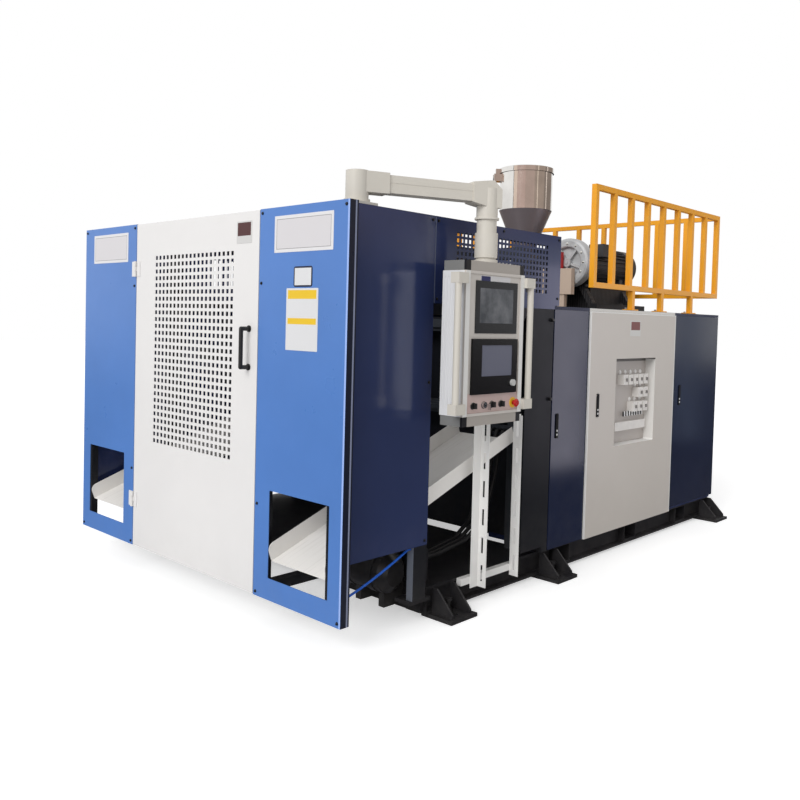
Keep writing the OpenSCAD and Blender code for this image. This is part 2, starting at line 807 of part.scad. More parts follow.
// Stainless hopper: flange, cone, straight wall with a rolled rim, and the ears of its lid's hinge
module hopper() {
    throat_r = 70;
    flange_r = 110;
    bead = 5;
    ear_z = [hopper_top - 100, hopper_top - 40];
    color("#c9c7c3") placed() translate([0, hopper_y, hopper_base_z]) difference() {
        union() {
            rotate_extrude($fn = 72) polygon([[feed_r, 0], [flange_r, 0], [flange_r, hopper_flange],
                [throat_r, hopper_flange], [hopper_r, hopper_top - hopper_wall], [hopper_r, hopper_top - 12],
                [hopper_r + bead, hopper_top - 8], [hopper_r + bead, hopper_top - 2], [hopper_r, hopper_top],
                [hopper_r - hopper_t, hopper_top], [hopper_r - hopper_t, hopper_top - hopper_wall],
                [throat_r - hopper_t, hopper_flange + 4], [feed_r, hopper_flange]]);
            rotate([0, 0, lid_turn]) for (x = [-40, 24])
                block([x, x + 16], [-lid_hinge_r - 16, 5 - hopper_r], ear_z);
        }
        rotate([0, 0, lid_turn]) bar_x(-lid_hinge_r, lid_pin_z, [-60, 60], lid_pin_r + running_gap);
    }
}

// Lid with a skirt over the rim, a strap down to its hinge pin, and a knob
module hopper_lid() {
    skirt_r = hopper_r + 9;
    skirt = 34;
    lid_gap = 0.3;
    strap = 22;
    knuckle_r = 9;
    color("#b9b8b5") placed() translate([0, hopper_y, hopper_base_z]) union() {
        translate([0, 0, hopper_top + lid_gap]) rotate_extrude($fn = 72)
            polygon([[0, 0], [skirt_r - 2, 0], [skirt_r - 2, -skirt], [skirt_r, -skirt], [skirt_r, 4],
                [skirt_r - 12, 10], [40, 16], [0, 16]]);
        rotate([0, 0, lid_turn]) {
            block([-strap, strap], [-lid_hinge_r, 1.5 - skirt_r], [lid_pin_z, hopper_top + 3]);
            bar_x(-lid_hinge_r, lid_pin_z, [-strap, strap], knuckle_r);
            bar_x(-lid_hinge_r, lid_pin_z, [-44, 44], lid_pin_r);
            translate([0, hopper_r - 50, hopper_top + 8]) cylinder(r = 16, h = 30);
        }
    }
}

// Reduction gearbox behind the feed block, with the drive motor on its rear
module gear_motor() {
    box_y = [throat_y[1], throat_y[1] + 430];
    motor_end = rear_y - 110;
    color("#4a5560") placed() union() {
        difference() {
            block([-220, 220], box_y, [cabinet_top, axis_z + 200]);
            bar_y(0, axis_z, [box_y[0] - cut, box_y[0] + 20], screw_d / 2 + 0.1);
        }
        block([-245, 245], [box_y[0] + 30, box_y[1] - 30], [cabinet_top, cabinet_top + 30]);
        bar_y(0, axis_z, [box_y[1], box_y[1] + 25], 175);
        bar_y(0, axis_z, [box_y[1] + 25, motor_end], 150);
    }
}

// Deck over the cabinet, with the barrel's saddle and the blower's stand
module platform_deck() {
    saddle_y = [bay_l + 320, bay_l + 365];
    leg = 50;
    feet_x = [blower_x - 190, blower_x + 190];
    frames_y = [blower_y + 140, motor_y[1] - 130];
    color("#26282c") placed() union() {
        block([-side_x, side_x], [bay_l, rear_y], [cabinet_top - deck_t, cabinet_top]);
        difference() {
            block([-70, 70], saddle_y, [cabinet_top, axis_z]);
            bar_y(0, axis_z, [saddle_y[0] - cut, saddle_y[1] + cut], barrel_d / 2);
        }
        for (y = frames_y) for (s = [0, 1]) {
            rise = stand_z - cabinet_top - 20;
            run = blower_x - feet_x[s] + (s == 0 ? -70 : 70);
            translate([feet_x[s], y, cabinet_top]) rotate([90, 0, 0]) linear_extrude(leg, center = true)
                polygon([[-leg / 2, 0], [leg / 2, 0], [run + leg / 2, rise], [run - leg / 2, rise]]);
        }
        for (x = feet_x)
            block([x - 30, x + 30], [frames_y[0] - 40, frames_y[1] + 160], [cabinet_top, cabinet_top + 60]);
        block([blower_x - 110, blower_x + 110], [frames_y[0] - 25, motor_y[1] - 60], [stand_z - 20, stand_z]);
        block([blower_x - 100, blower_x + 100], [frames_y[0] + 60, frames_y[1] + 60],
            [cabinet_top, stand_z - 20]);
    }
}

// Finned motor of the blower, with terminal box, feet and fan cover
module blower_motor() {
    fins = 24;
    core_r = motor_r - 18;
    fin_y = [motor_y[0] + 90, motor_y[1] - 110];
    color("#3b3c41") placed() union() {
        bar_y(blower_x, blower_z, [motor_y[0] + 60, motor_y[1] - 100], core_r);
        translate([blower_x, motor_y[0], blower_z]) rotate([-90, 0, 0])
            cylinder(r1 = motor_r * 0.62, r2 = motor_r, h = 60);
        for (i = [0:fins - 1]) translate([blower_x, 0, blower_z]) rotate([0, 360 * i / fins, 0])
            block([core_r - 2, motor_r], fin_y, [-2.5, 2.5]);
        bar_y(blower_x, blower_z, [motor_y[0] + 60, motor_y[0] + 90], motor_r);
        bar_y(blower_x, blower_z, [motor_y[1] - 110, motor_y[1]], motor_r + 6);
        block([blower_x + 40, blower_x + 170], [motor_y[0] + 150, motor_y[0] + 290],
            [blower_z + 60, blower_z + 160]);
        for (y = [motor_y[0] + 110, motor_y[1] - 190])
            block([blower_x - 100, blower_x + 100], [y, y + 50], [stand_z, blower_z - 100]);
    }
}

// Round blower housing with a recessed face, hub and curved webs
module blower_housing() {
    depth = 110;
    face_r = 122;
    hub_r = 34;
    color("#b9babb") placed() translate([blower_x, blower_y, blower_z]) union() {
        rotate([-90, 0, 0]) rotate_extrude($fn = 72)
            polygon([[0, 34], [face_r, 34], [face_r, 4], [face_r + 8, 0], [blower_r - 22, 0],
                [blower_r - 6, 8], [blower_r, 26], [blower_r, 84], [blower_r - 14, 100],
                [blower_r - 40, depth], [0, depth]]);
        rotate([-90, 0, 0]) cylinder(r = hub_r, h = 35);
        rotate([90, 0, 0]) cylinder(r = 12, h = 6);
        for (a = [20:72:308]) rotate([0, a, 0]) block([hub_r - 4, face_r + 2], [8, 35], [-8, 8]);
    }
}

// Beige starter box with a red block on its side
module starter_box() {
    box_x = [blower_x - 175, blower_x + 85];
    box_z = [blower_z - 250, blower_z - 50];
    box_y = [blower_y - 60, blower_y - 12];
    color("#d3b9a6") placed() union() {
        block(box_x, box_y, box_z);
        block([blower_x - 130, blower_x - 20], box_y, [box_z[1], box_z[1] + 130]);
        block([blower_x - 110, blower_x + 40], [box_y[1], blower_y], [box_z[0] + 20, box_z[1] - 20]);
        block([blower_x - 40, blower_x + 20], [box_y[0] + 10, box_y[1]], [cabinet_top, box_z[0]]);
    }
}

// Railing round the deck, welded from square tube on three sides
module railing() {
    half = rail_tube / 2;
    runs = 8;
    step = (railing_y[1] - railing_y[0]) / runs;
    back_runs = 9;
    back_step = 2 * railing_x / back_runs;
    leg_shares = [0.274, 0.5025, 0.7614];
    leg_rows = [for (share = leg_shares) railing_y[0] + share * (railing_y[1] - railing_y[0])];
    foot = 45;
    foot_plate_t = 8;
    color("#f5a623") placed() union() {
        for (z = railing_z) {
            both_sides() block([railing_x - half, railing_x + half],
                [railing_y[0] - half, railing_y[1] + half], [z - half, z + half]);
            block([-railing_x - half, railing_x + half], [railing_y[1] - half, railing_y[1] + half],
                [z - half, z + half]);
        }
        both_sides() for (i = [0:runs])
            block([railing_x - half, railing_x + half],
                [railing_y[0] + i * step - half, railing_y[0] + i * step + half], railing_z);
        for (i = [1:back_runs - 1])
            block([i * back_step - railing_x - half, i * back_step - railing_x + half],
                [railing_y[1] - half, railing_y[1] + half], railing_z);
        both_sides() for (y = leg_rows) {
            block([railing_x - half, railing_x + half], [y - half, y + half], [cabinet_top, railing_z[0]]);
            block([railing_x - foot, side_x - 2], [y - foot, y + foot],
                [cabinet_top, cabinet_top + foot_plate_t]);
        }
    }
}

// Electrical cabinet with its door posts, and the plain covers round the hydraulics
module cabinet_shell() {
    x = [cabinet_x - cabinet_depth, cabinet_x];
    wall = 3;
    post_w = 36;
    corner = 60;
    arm = 15;
    pin = 35;
    color("#232b52") placed() {
        difference() {
            block(x, [bay_l, rear_y], [base_h, cabinet_z[1]]);
            for (i = [0:2])
                block([x[0] + wall, x[1] + cut],
                    [leaf_edges[i] + post_w / 2, leaf_edges[i + 1] - post_w / 2],
                    [base_h + 30, cabinet_z[1] - 30]);
        }
        for (i = [0:2], z = leaf_hinge_z) {
            block([x[1] - 1, leaf_pin_x(i)], [leaf_pin_y(i) - leaf_pin_r, leaf_pin_y(i) + leaf_pin_r],
                [z - arm, z + arm]);
            translate([leaf_pin_x(i), leaf_pin_y(i), z - pin]) cylinder(r = leaf_pin_r, h = 2 * pin);
        }
        block([-side_x, x[0]], [rear_y - wall, rear_y], [base_h, cabinet_z[1]]);
        block([-side_x, -side_x + wall], [bay_l, rear_y - wall], [base_h, cabinet_z[1]]);
        for (y = [bay_l, rear_y - wall - corner])
            block([-side_x + wall, -side_x + wall + corner], [y, y + corner], [base_h, cabinet_z[1]]);
    }
}

// Pin line of a cabinet door, just inside its rear edge
function leaf_pin_x(i) = side_x + leaf_proud[i] - leaf_pin_inset;
function leaf_pin_y(i) = leaf_edges[i + 1] - leaf_gap - leaf_pin_inset;

// Folded door leaf with its hinge knuckles, and the pocket and pin of its lock
module leaf(i, bottom) {
    y = [leaf_edges[i] + leaf_gap, leaf_edges[i + 1] - leaf_gap];
    x = side_x + leaf_proud[i];
    t = 2;
    knuckle = 6;
    knuckle_z = [16, 36];
    lock_y = y[0] + lock_inset[i];
    plate = 10;
    pocket = 12;
    difference() {
        union() {
            side_pan(x, y, [bottom, cabinet_z[1] - 1], door_t + leaf_proud[i] - 3.5, t);
            block([x - pocket - t, x - 1], [lock_y - plate, lock_y + lock_w + plate],
                [lock_z[i] - plate, lock_z[i] + lock_h + plate]);
            for (z = leaf_hinge_z, k = [0, 1]) translate([0, 0, z]) mirror([0, 0, k])
                block([leaf_pin_x(i) - knuckle, x - 1], [leaf_pin_y(i) - knuckle, y[1] - 1], knuckle_z);
        }
        for (z = leaf_hinge_z) {
            block([x - door_t - leaf_proud[i], x - t], [y[1] - t - cut, y[1] + cut],
                [z - knuckle_z[0] - 1, z + knuckle_z[0] + 1]);
            translate([leaf_pin_x(i), leaf_pin_y(i), z - knuckle_z[1] - cut])
                cylinder(r = leaf_pin_r + running_gap, h = 2 * (knuckle_z[1] + cut));
        }
        block([x - pocket, x + cut], [lock_y - 1, lock_y + lock_w + 1],
            [lock_z[i] - 1, lock_z[i] + lock_h + 3]);
    }
    bar_y(x, lock_z[i] + lock_pivot, [lock_y - 5, lock_y + lock_w + 5], lock_pin_r);
}

module cabinet_door_front() {
    color("#262f5a") placed() leaf(0, cabinet_z[0]);
}

module cabinet_door_rear() {
    color("#262f5a") placed() leaf(2, cabinet_z[0] + 20);
}

// White door with a deep window for the breakers
module cabinet_door_main() {
    t = 2;
    x = side_x + main_proud;
    color("#dcd7cd") placed() difference() {
        union() {
            leaf(1, cabinet_z[0] - 4);
            block([x - window_depth - t, x - 1], [window_y[0] - t, window_y[1] + t],
                [window_z[0] - t, window_z[1] + t]);
        }
        block([x - window_depth, x + cut], window_y, window_z);
    }
}

// Rows of breakers on a plate at the back of the white door's window
module breaker_panel() {
    back = side_x + main_proud - window_depth;
    right = window_y[1] - 40;
    size = [50, 62, 70];
    rows = [[5, 1155], [2, 1060], [3, 960]];
    color("#e4e1da") placed() union() {
        block([back, back + 4], [window_y[0] + 2, window_y[1] - 2], [window_z[0] + 2, window_z[1] - 2]);
        for (row = rows) for (k = [0:row[0] - 1]) {
            y = right - (k + 1) * 74;
            block([back + 4, back + 4 + size[0]], [y, y + size[1]], [row[1], row[1] + size[2]]);
            block([back + 4 + size[0], back + 16 + size[0]], [y + 24, y + 38], [row[1] + 24, row[1] + 46]);
        }
        block([back + 4, back + 34], [window_y[0] + 90, right], [window_z[0] + 90, window_z[0] + 150]);
    }
}

// Swing lever of a cabinet lock, which turns on a pin near its top end
module lock(i) {
    y = leaf_edges[i] + leaf_gap + lock_inset[i];
    x = side_x + leaf_proud[i];
    head = 21;
    button_r = 7;
    color("#17181a") placed() difference() {
        union() {
            block([x - 9, x + lock_proud], [y, y + lock_w], [lock_z[i], lock_z[i] + lock_h - head + 1]);
            block([x - 5, x + lock_proud], [y, y + lock_w], [lock_z[i] + lock_h - head, lock_z[i] + lock_h]);
        }
        for (z = [22, 46])
            bar_x(y + lock_w / 2, lock_z[i] + z, [x + lock_proud - 3, x + lock_proud + cut], button_r);
        bar_y(x, lock_z[i] + lock_pivot, [y - cut, y + lock_w + cut], lock_pin_r + running_gap);
    }
}

module lock_front() {
    lock(0);
}

module lock_main() {
    lock(1);
}

module lock_rear() {
    lock(2);
}

// Plate with rows of contactors and wiring ducts, on the cabinet's back wall
module mounting_plate() {
    back = cabinet_x - cabinet_depth + 3;
    bays = [[0, 3], [1, 11], [2, 6]];
    rows = [cabinet_z[0] + 320, cabinet_z[0] + 680, cabinet_z[0] + 1040];
    color("#c9ccd0") placed() union() {
        for (b = bays) {
            y = [leaf_edges[b[0]] + 40, leaf_edges[b[0] + 1] - 40];
            block([back, back + 6], y, [cabinet_z[0] + 90, cabinet_z[1] - 90]);
            for (z = rows) {
                block([back + 6, back + 66], y, [z - 90, z - 30]);
                for (k = [0:b[1] - 1]) {
                    step = (y[1] - y[0]) / b[1];
                    unit_y = [y[0] + k * step + 8, y[0] + (k + 1) * step - 8];
                    block([back + 6, back + 96], unit_y, [z, z + 110]);
                }
            }
        }
    }
}

// Oil tank with pump motor and valve block
module hydraulic_unit() {
    tank_x = [-1120, -220];
    tank_y = [bay_l + 300, bay_l + 1500];
    tank_z = [base_h, base_h + 460];
    color("#50565e") placed() union() {
        block(tank_x, tank_y, tank_z);
        block([-1000, -700], [tank_y[0] + 150, tank_y[0] + 600], [tank_z[1], tank_z[1] + 30]);
        bar_y(-850, tank_z[1] + 165, [tank_y[0] + 130, tank_y[0] + 560], 140);
        bar_y(-850, tank_z[1] + 165, [tank_y[0] + 560, tank_y[0] + 760], 90);
        block([-560, -300], [tank_y[0] + 200, tank_y[0] + 800], [tank_z[1], tank_z[1] + 180]);
    }
}

// Black air receiver on two straps ahead of the base
module air_receiver() {
    end = 40;
    color("#1d1e21") placed() union() {
        bar_x(receiver_y, receiver_z, [receiver_x[0] + end, receiver_x[1] - end], receiver_r);
        translate([receiver_x[0], receiver_y, receiver_z]) rotate([0, 90, 0])
            cylinder(r1 = receiver_r * 0.6, r2 = receiver_r, h = end);
        translate([receiver_x[1] - end, receiver_y, receiver_z]) rotate([0, 90, 0])
            cylinder(r1 = receiver_r, r2 = receiver_r * 0.6, h = end);
        for (x = [receiver_x[0] + 90, receiver_x[1] - 120]) {
            bar_x(receiver_y, receiver_z, [x, x + 40], receiver_r + 5);
            block([x, x + 40], [receiver_y, overhang], [foot_t + 30, base_h]);
        }
        bar_y(port_x, receiver_z, [receiver_y - 120, receiver_y], 12);
    }
}

module hydraulic_hoses() {
    color("#151516") placed() for (route = hose_routes) route_tube(route, hose_r, 10);
}

module air_tube() {
    color("#1f6fe0") placed() route_tube(air_route, air_r, 8);
}

// Point on the arm's line, and the arm's own direction
module along_arm() {
    translate([arm_x, arm_y, arm_z]) rotate([0, 0, -arm_angle]) children();
}

// Cast shoulder on the arm's post, and the elbow with its downward tube
module arm_castings() {
    shoulder_z = [arm_post_top + arm_thrust, arm_z + 50];
    sleeve = [104, 96];
    sleeve_l = 150;
    elbow_l = 105;
    elbow_z = arm_z + 66;
    color("#ddd8ce") placed() {
        difference() {
            union() {
                translate([arm_x, arm_y, shoulder_z[0]]) cylinder(r = 64, h = 14);
                translate([arm_x, arm_y, shoulder_z[0]]) cylinder(r = 56, h = shoulder_z[1] - shoulder_z[0]);
                along_arm() block([-sleeve[1] / 2, sleeve[1] / 2], [0, sleeve_l], [-sleeve[0] / 2, 48]);
            }
            translate([arm_x, arm_y, shoulder_z[0] - cut]) cylinder(r = arm_pin_r + running_gap, h = 143);
        }
        difference() {
            union() {
                along_arm() translate([-sleeve[1] / 2, arm_l - elbow_l, 0]) rotate([90, 0, 90])
                    linear_extrude(sleeve[1]) polygon([[0, -sleeve[0] / 2], [elbow_l, -sleeve[0] / 2 - 20],
                        [elbow_l + 60, -sleeve[0] / 2 - 20], [elbow_l + 60, 22], [elbow_l + 12, 66],
                        [0, 50]]);
                translate([neck_x, neck_y, neck_top]) cylinder(r = neck_r, h = elbow_z - neck_top - 40);
                translate([neck_x, neck_y, neck_top]) cylinder(r = neck_r + 8, h = 10);
            }
            translate([neck_x, neck_y, neck_top - cut]) cylinder(r = spigot_r + running_gap, h = 62);
        }
    }
}

// Extruded beam between shoulder and elbow
module arm_beam() {
    width = 82;
    height = 86;
    start = 150;
    end = arm_l - 105;
    color("#e2ded5") placed() along_arm() difference() {
        block([-width / 2, width / 2], [start, end], [-height / 2 - 4, height / 2 - 4]);
        for (s = [-1, 1]) translate([s * width / 2, 0, -4])
            block([-1.5, 1.5], [start - cut, end + cut], [-6, 6]);
    }
}

// Neck that turns in the elbow and carries the box
module pendant_neck() {
    seat_z = pendant_top + cap_h;
    ring_h = 16;
    collar = [seat_z + ring_h + 10, pendant_top + 203];
    color("#ddd8ce") placed() union() {
        translate([neck_x, neck_y, seat_z]) cylinder(r = neck_r - 4, h = neck_top - 0.5 - seat_z);
        translate([neck_x, neck_y, seat_z]) cylinder(r = neck_r + 6, h = ring_h);
        translate([neck_x, neck_y, collar[0]]) cylinder(r = neck_r + 4, h = collar[1] - collar[0]);
        translate([neck_x, neck_y, neck_top - 1]) cylinder(r = spigot_r, h = 58);
    }
}

// Box of the pendant: ribbed sides, front recess for the screens, end caps and switch holes
module pendant_box() {
    half = pendant_w / 2;
    x = [neck_x - pendant_d / 2, face_x];
    recess = 6;
    margin = 34;
    ribs = 6;
    rib_step = (pendant_d - 30) / ribs;
    cap_inset = 4;
    color("#d9d4ca") placed() difference() {
        union() {
            block(x, [neck_y - half, neck_y + half], [pendant_bottom, pendant_top]);
            for (z = [pendant_bottom - cap_h, pendant_top])
                block([x[0] + cap_inset, x[1] - cap_inset],
                    [neck_y - half + cap_inset, neck_y + half - cap_inset], [z, z + cap_h]);
        }
        block([x[1] - recess, x[1] + cut], [neck_y - half + margin, neck_y + half - margin],
            [pendant_bottom + 14, pendant_top - 14]);
        for (i = [0:ribs - 1], s = [-1, 1])
            translate([x[0] + 12 + i * rib_step, neck_y + s * half, 0])
                block([0, rib_step / 2], [-2, 2], [pendant_bottom + 30, pendant_top - 30]);
        for (y = switch_spacing) bar_x(neck_y + y, switch_z, [x[1] - 40, x[1]], switch_stem_r + running_gap);
        bar_x(neck_y + estop_y, switch_z, [x[1] - 40, x[1]], switch_stem_r + running_gap);
        block([x[1] - 40, x[1]], [neck_y - 150, neck_y + 175], [pendant_bottom + 425, pendant_top - 58]);
        block([x[1] - 60, x[1]], [neck_y - 180, neck_y + 185], [pendant_bottom + 113, pendant_bottom + 380]);
    }
}

// Two grab bars beside the box, on blocks at its corners
module pendant_handles() {
    reach = 76;
    bar_r = 17;
    forward = 18;
    half = pendant_w / 2;
    ends = [pendant_bottom + 40, pendant_top - 40];
    color("#e6e3dc") placed() for (s = [-1, 1]) union() {
        translate([face_x + forward - 18, neck_y + s * (half + reach - bar_r), ends[0]])
            cylinder(r = bar_r, h = ends[1] - ends[0]);
        for (z = [ends[0] - 26, ends[1] - 26]) translate([0, neck_y, z]) mirror([0, s < 0 ? 1 : 0, 0])
            block([face_x - 34, face_x + forward], [half, half + reach], [0, 52]);
    }
}

// Dark monitor window
module monitor() {
    recess = 6;
    color("#1a1d22") placed() union() {
        block([face_x - 40, face_x - recess], [neck_y - 150, neck_y + 175],
            [pendant_bottom + 425, pendant_top - 58]);
        block([face_x - recess, face_x - 2], [neck_y - 162, neck_y + 187],
            [pendant_bottom + 413, pendant_top - 46]);
    }
}

// Touch panel with a raised bezel and a round knob
module touch_panel() {
    recess = 6;
    bezel = 14;
    y = [neck_y - 180, neck_y + 185];
    z = [pendant_bottom + 113, pendant_bottom + 380];
    color("#141518") placed() union() {
        block([face_x - 60, face_x - recess], y, z);
        difference() {
            block([face_x - recess, face_x + 6], [y[0] - 6, y[1] + 6], [z[0] - 6, z[1] + 6]);
            block([face_x + 3, face_x + 7], [y[0] + 70, y[1] - 40], [z[0] + 84, z[1] - 26]);
        }
        bar_x(neck_y + 148, z[0] + 46, [face_x + 6, face_x + 6 + bezel], 17);
    }
}

// Selector switch with a lever bar, on a stem that turns in the box
module selector(y) {
    seat = face_x - 6;
    color("#161719") placed() translate([0, neck_y + y, switch_z]) union() {
        bar_x(0, 0, [seat - 30, seat + 6], switch_stem_r);
        bar_x(0, 0, [seat + 0.3, seat + 12], switch_r + 2);
        block([seat + 12, seat + 28], [-5, 5], [-switch_r, switch_r]);
    }
}

module selector_left() {
    selector(switch_spacing[0]);
}

module selector_mid() {
    selector(switch_spacing[2]);
}

module selector_right() {
    selector(switch_spacing[3]);
}

// Key switch with its key hanging from the barrel
module key_switch() {
    seat = face_x - 6;
    color("#c8cacc") placed() translate([0, neck_y + switch_spacing[1], switch_z]) union() {
        bar_x(0, 0, [seat - 30, seat + 6], switch_stem_r);
        bar_x(0, 0, [seat + 0.3, seat + 14], switch_r + 2);
        block([seat + 14, seat + 30], [-1.5, 1.5], [-6, 6]);
        block([seat + 30, seat + 48], [-1.5, 1.5], [-22, 8]);
    }
}

// Mushroom emergency stop that pushes in
module emergency_stop() {
    seat = face_x - 6;
    color("#c8181c") placed() translate([seat, neck_y + estop_y, switch_z]) rotate([0, 90, 0]) union() {
        translate([0, 0, -28]) cylinder(r = switch_stem_r, h = 48);
        translate([0, 0, estop_travel + ring_t]) cylinder(r = 13, h = 12);
        translate([0, 0, 20]) cylinder(r1 = 20, r2 = 22, h = 5);
        translate([0, 0, 25]) cylinder(r1 = 22, r2 = 14, h = 8);
    }
}

base_frame();
levelling_feet();
guard_frame();
front_panel_left();
front_panel_right();
left_side_cover();
side_panel_right();
upper_panel_right();
chute_left();
chute_right();
door_hinges();
slotted_stand();
clamp_frame();
die_head();
extruder_barrel();
feed_throat();
hopper();
hopper_lid();
gear_motor();
platform_deck();
railing();
cabinet_shell();
mounting_plate();
hydraulic_unit();
blower_motor();
blower_housing();
starter_box();
air_receiver();
hydraulic_hoses();
air_tube();
front_door();
door_handle();
arm_castings();
arm_beam();
pendant_neck();
pendant_box();
pendant_handles();
monitor();
touch_panel();
selector_left();
key_switch();
selector_mid();
selector_right();
emergency_stop();
cabinet_door_front();
cabinet_door_main();
cabinet_door_rear();
breaker_panel();
lock_front();
lock_main();
lock_rear();
carriage_left();
carriage_right();
platen_front_left();
platen_rear_left();
platen_front_right();
platen_rear_right();
blow_pin_left();
blow_pin_right();
extruder_screw();
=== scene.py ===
import math
import bmesh
import bpy
from mathutils import Matrix, Vector


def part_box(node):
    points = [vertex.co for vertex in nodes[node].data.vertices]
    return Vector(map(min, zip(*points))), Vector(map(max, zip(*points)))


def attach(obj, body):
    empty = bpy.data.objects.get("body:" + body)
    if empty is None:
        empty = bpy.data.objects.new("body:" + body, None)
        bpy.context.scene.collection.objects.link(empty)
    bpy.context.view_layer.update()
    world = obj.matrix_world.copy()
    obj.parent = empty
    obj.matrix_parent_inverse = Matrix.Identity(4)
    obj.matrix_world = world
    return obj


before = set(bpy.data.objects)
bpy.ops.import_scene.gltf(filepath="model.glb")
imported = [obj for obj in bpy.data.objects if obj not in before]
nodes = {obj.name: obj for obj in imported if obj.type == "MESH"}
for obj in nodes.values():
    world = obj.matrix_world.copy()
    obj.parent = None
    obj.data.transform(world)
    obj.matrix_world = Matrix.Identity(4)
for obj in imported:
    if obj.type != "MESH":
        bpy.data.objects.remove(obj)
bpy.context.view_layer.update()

scene = bpy.context.scene
scene.view_settings.view_transform = "Standard"


# Camera: stands at head height off the machine's front right corner, turned a little to the left,
# with its frame moved down so that verticals stay upright.
view_azimuth = math.radians(43.48)
view_elevation = math.radians(2.027)
view_roll = math.radians(1.508)
camera_place = Vector((3.983, -5.003, 1.560))
back = Vector((math.sin(view_azimuth) * math.cos(view_elevation),
               -math.cos(view_azimuth) * math.cos(view_elevation),
               math.sin(view_elevation)))
level = Vector((math.cos(view_azimuth), math.sin(view_azimuth), 0))
upright = back.cross(level)
right = math.cos(view_roll) * level + math.sin(view_roll) * upright
up = math.cos(view_roll) * upright - math.sin(view_roll) * level
camera_data = bpy.data.cameras.new("camera")
camera_data.sensor_width = 36
camera_data.lens = 37.02
camera_data.shift_y = -0.0625
camera_data.clip_end = 200
camera = bpy.data.objects.new("camera", camera_data)
camera.matrix_world = Matrix((
    (right.x, up.x, back.x, camera_place.x),
    (right.y, up.y, back.y, camera_place.y),
    (right.z, up.z, back.z, camera_place.z),
    (0, 0, 0, 1)))
scene.collection.objects.link(camera)
scene.camera = camera


# Studio: a pale floor that keeps the machine's shadow, an even white surround,
# and one broad soft lamp ahead of the front guard.
def node_material(name):
    material = bpy.data.materials.new(name)
    material.use_nodes = True
    tree = material.node_tree
    return material, tree, tree.nodes["Principled BSDF"]


def card_mesh(name, corners):
    mesh = bpy.data.meshes.new(name)
    mesh.from_pydata(corners, [], [(0, 1, 2, 3)])
    return mesh


def level_corners(reach, height):
    return [(x * reach, y * reach, height) for x, y in ((-1, -1), (1, -1), (1, 1), (-1, 1))]


floor = bpy.data.objects.new("studio_floor", card_mesh("studio_floor", level_corners(40, -0.001)))
floor_material, tree, shader = node_material("pale_floor")
shader.inputs["Base Color"].default_value = (0.82, 0.82, 0.82, 1)
shader.inputs["Roughness"].default_value = 0.9
shader.inputs["Specular IOR Level"].default_value = 0.0
ray = tree.nodes.new("ShaderNodeLightPath")
lift = tree.nodes.new("ShaderNodeMath")
lift.operation = "MULTIPLY"
lift.inputs[1].default_value = 0.5
tree.links.new(ray.outputs["Is Camera Ray"], lift.inputs[0])
tree.links.new(lift.outputs[0], shader.inputs["Emission Strength"])
shader.inputs["Emission Color"].default_value = (1, 1, 1, 1)
floor.data.materials.append(floor_material)
scene.collection.objects.link(floor)

world = bpy.data.worlds.new("studio")
scene.world = world
world.use_nodes = True
tree = world.node_tree
surround = tree.nodes["Background"]
ray = tree.nodes.new("ShaderNodeLightPath")
shown = ray.outputs["Is Camera Ray"]
for kind in ("Is Transmission Ray", "Is Glossy Ray"):
    either = tree.nodes.new("ShaderNodeMath")
    either.operation = "MAXIMUM"
    tree.links.new(shown, either.inputs[0])
    tree.links.new(ray.outputs[kind], either.inputs[1])
    shown = either.outputs[0]
strength = tree.nodes.new("ShaderNodeMapRange")
strength.inputs["To Min"].default_value = 0.56
strength.inputs["To Max"].default_value = 1.0
tree.links.new(shown, strength.inputs["Value"])
tree.links.new(strength.outputs["Result"], surround.inputs["Strength"])
surround.inputs["Color"].default_value = (1, 1, 1, 1)

key_data = bpy.data.lights.new("key", "SUN")
key_data.energy = 1.8
key_data.angle = math.radians(35)
key = bpy.data.objects.new("key", key_data)
towards_key = Vector((0.14, -0.86, 0.50))
key.rotation_euler = towards_key.to_track_quat("Z", "Y").to_euler()
scene.collection.objects.link(key)


# Cards round the machine, seen only in reflections: a dark floor and wall, warm boards with bright streaks
# above them for the polished hopper, a tall lamp and a dull board for the enamel of the cabinet.
def reflection_card(name, corners, shade):
    card = bpy.data.objects.new(name, card_mesh(name, corners))
    material, tree, shader = node_material(name)
    shader.inputs["Base Color"].default_value = (0, 0, 0, 1)
    shader.inputs["Specular IOR Level"].default_value = 0.0
    shader.inputs["Emission Color"].default_value = (*shade, 1)
    shader.inputs["Emission Strength"].default_value = 1.0
    card.data.materials.append(material)
    card.visible_camera = False
    card.visible_diffuse = False
    card.visible_shadow = False
    card.visible_transmission = False
    scene.collection.objects.link(card)


def upright_card(name, start, end, height, shade):
    low, high = height
    reflection_card(name, [(*start, low), (*end, low), (*end, high), (*start, high)], shade)


reflection_card("floor_card", level_corners(30, 0.0005), (0.07, 0.07, 0.08))
upright_card("right_card", (11, -4.5), (11, 9), (0.0, 3.2), (0.05, 0.05, 0.06))
upright_card("dark_card", (-4.1, -10), (-3.6, -10), (3.0, 9), (0.20, 0.18, 0.17))
upright_card("beige_card", (-3.5, -10), (-0.6, -10), (3.0, 9), (0.84, 0.68, 0.58))
upright_card("warm_card", (-0.6, -10), (6, -9), (3.0, 9), (0.58, 0.43, 0.38))
upright_card("brown_card", (6, -9), (11, -3), (3.0, 9), (0.50, 0.385, 0.335))
upright_card("dim_card", (11, -3), (11, 7), (3.2, 9), (0.40, 0.32, 0.27))
upright_card("far_card", (11, 7), (1, 13), (3.2, 9), (0.28, 0.23, 0.20))
upright_card("pale_streak", (10.8, -0.4), (10.8, 0.2), (3.2, 9), (0.90, 0.76, 0.64))
upright_card("bright_streak", (8.15, 7.75), (7.65, 8.25), (3.2, 9), (1.1, 0.95, 0.85))
upright_card("lamp_card", (2.6, 1.15), (2.6, 2.06), (0.22, 2.1), (2.3, 2.2, 2.45))
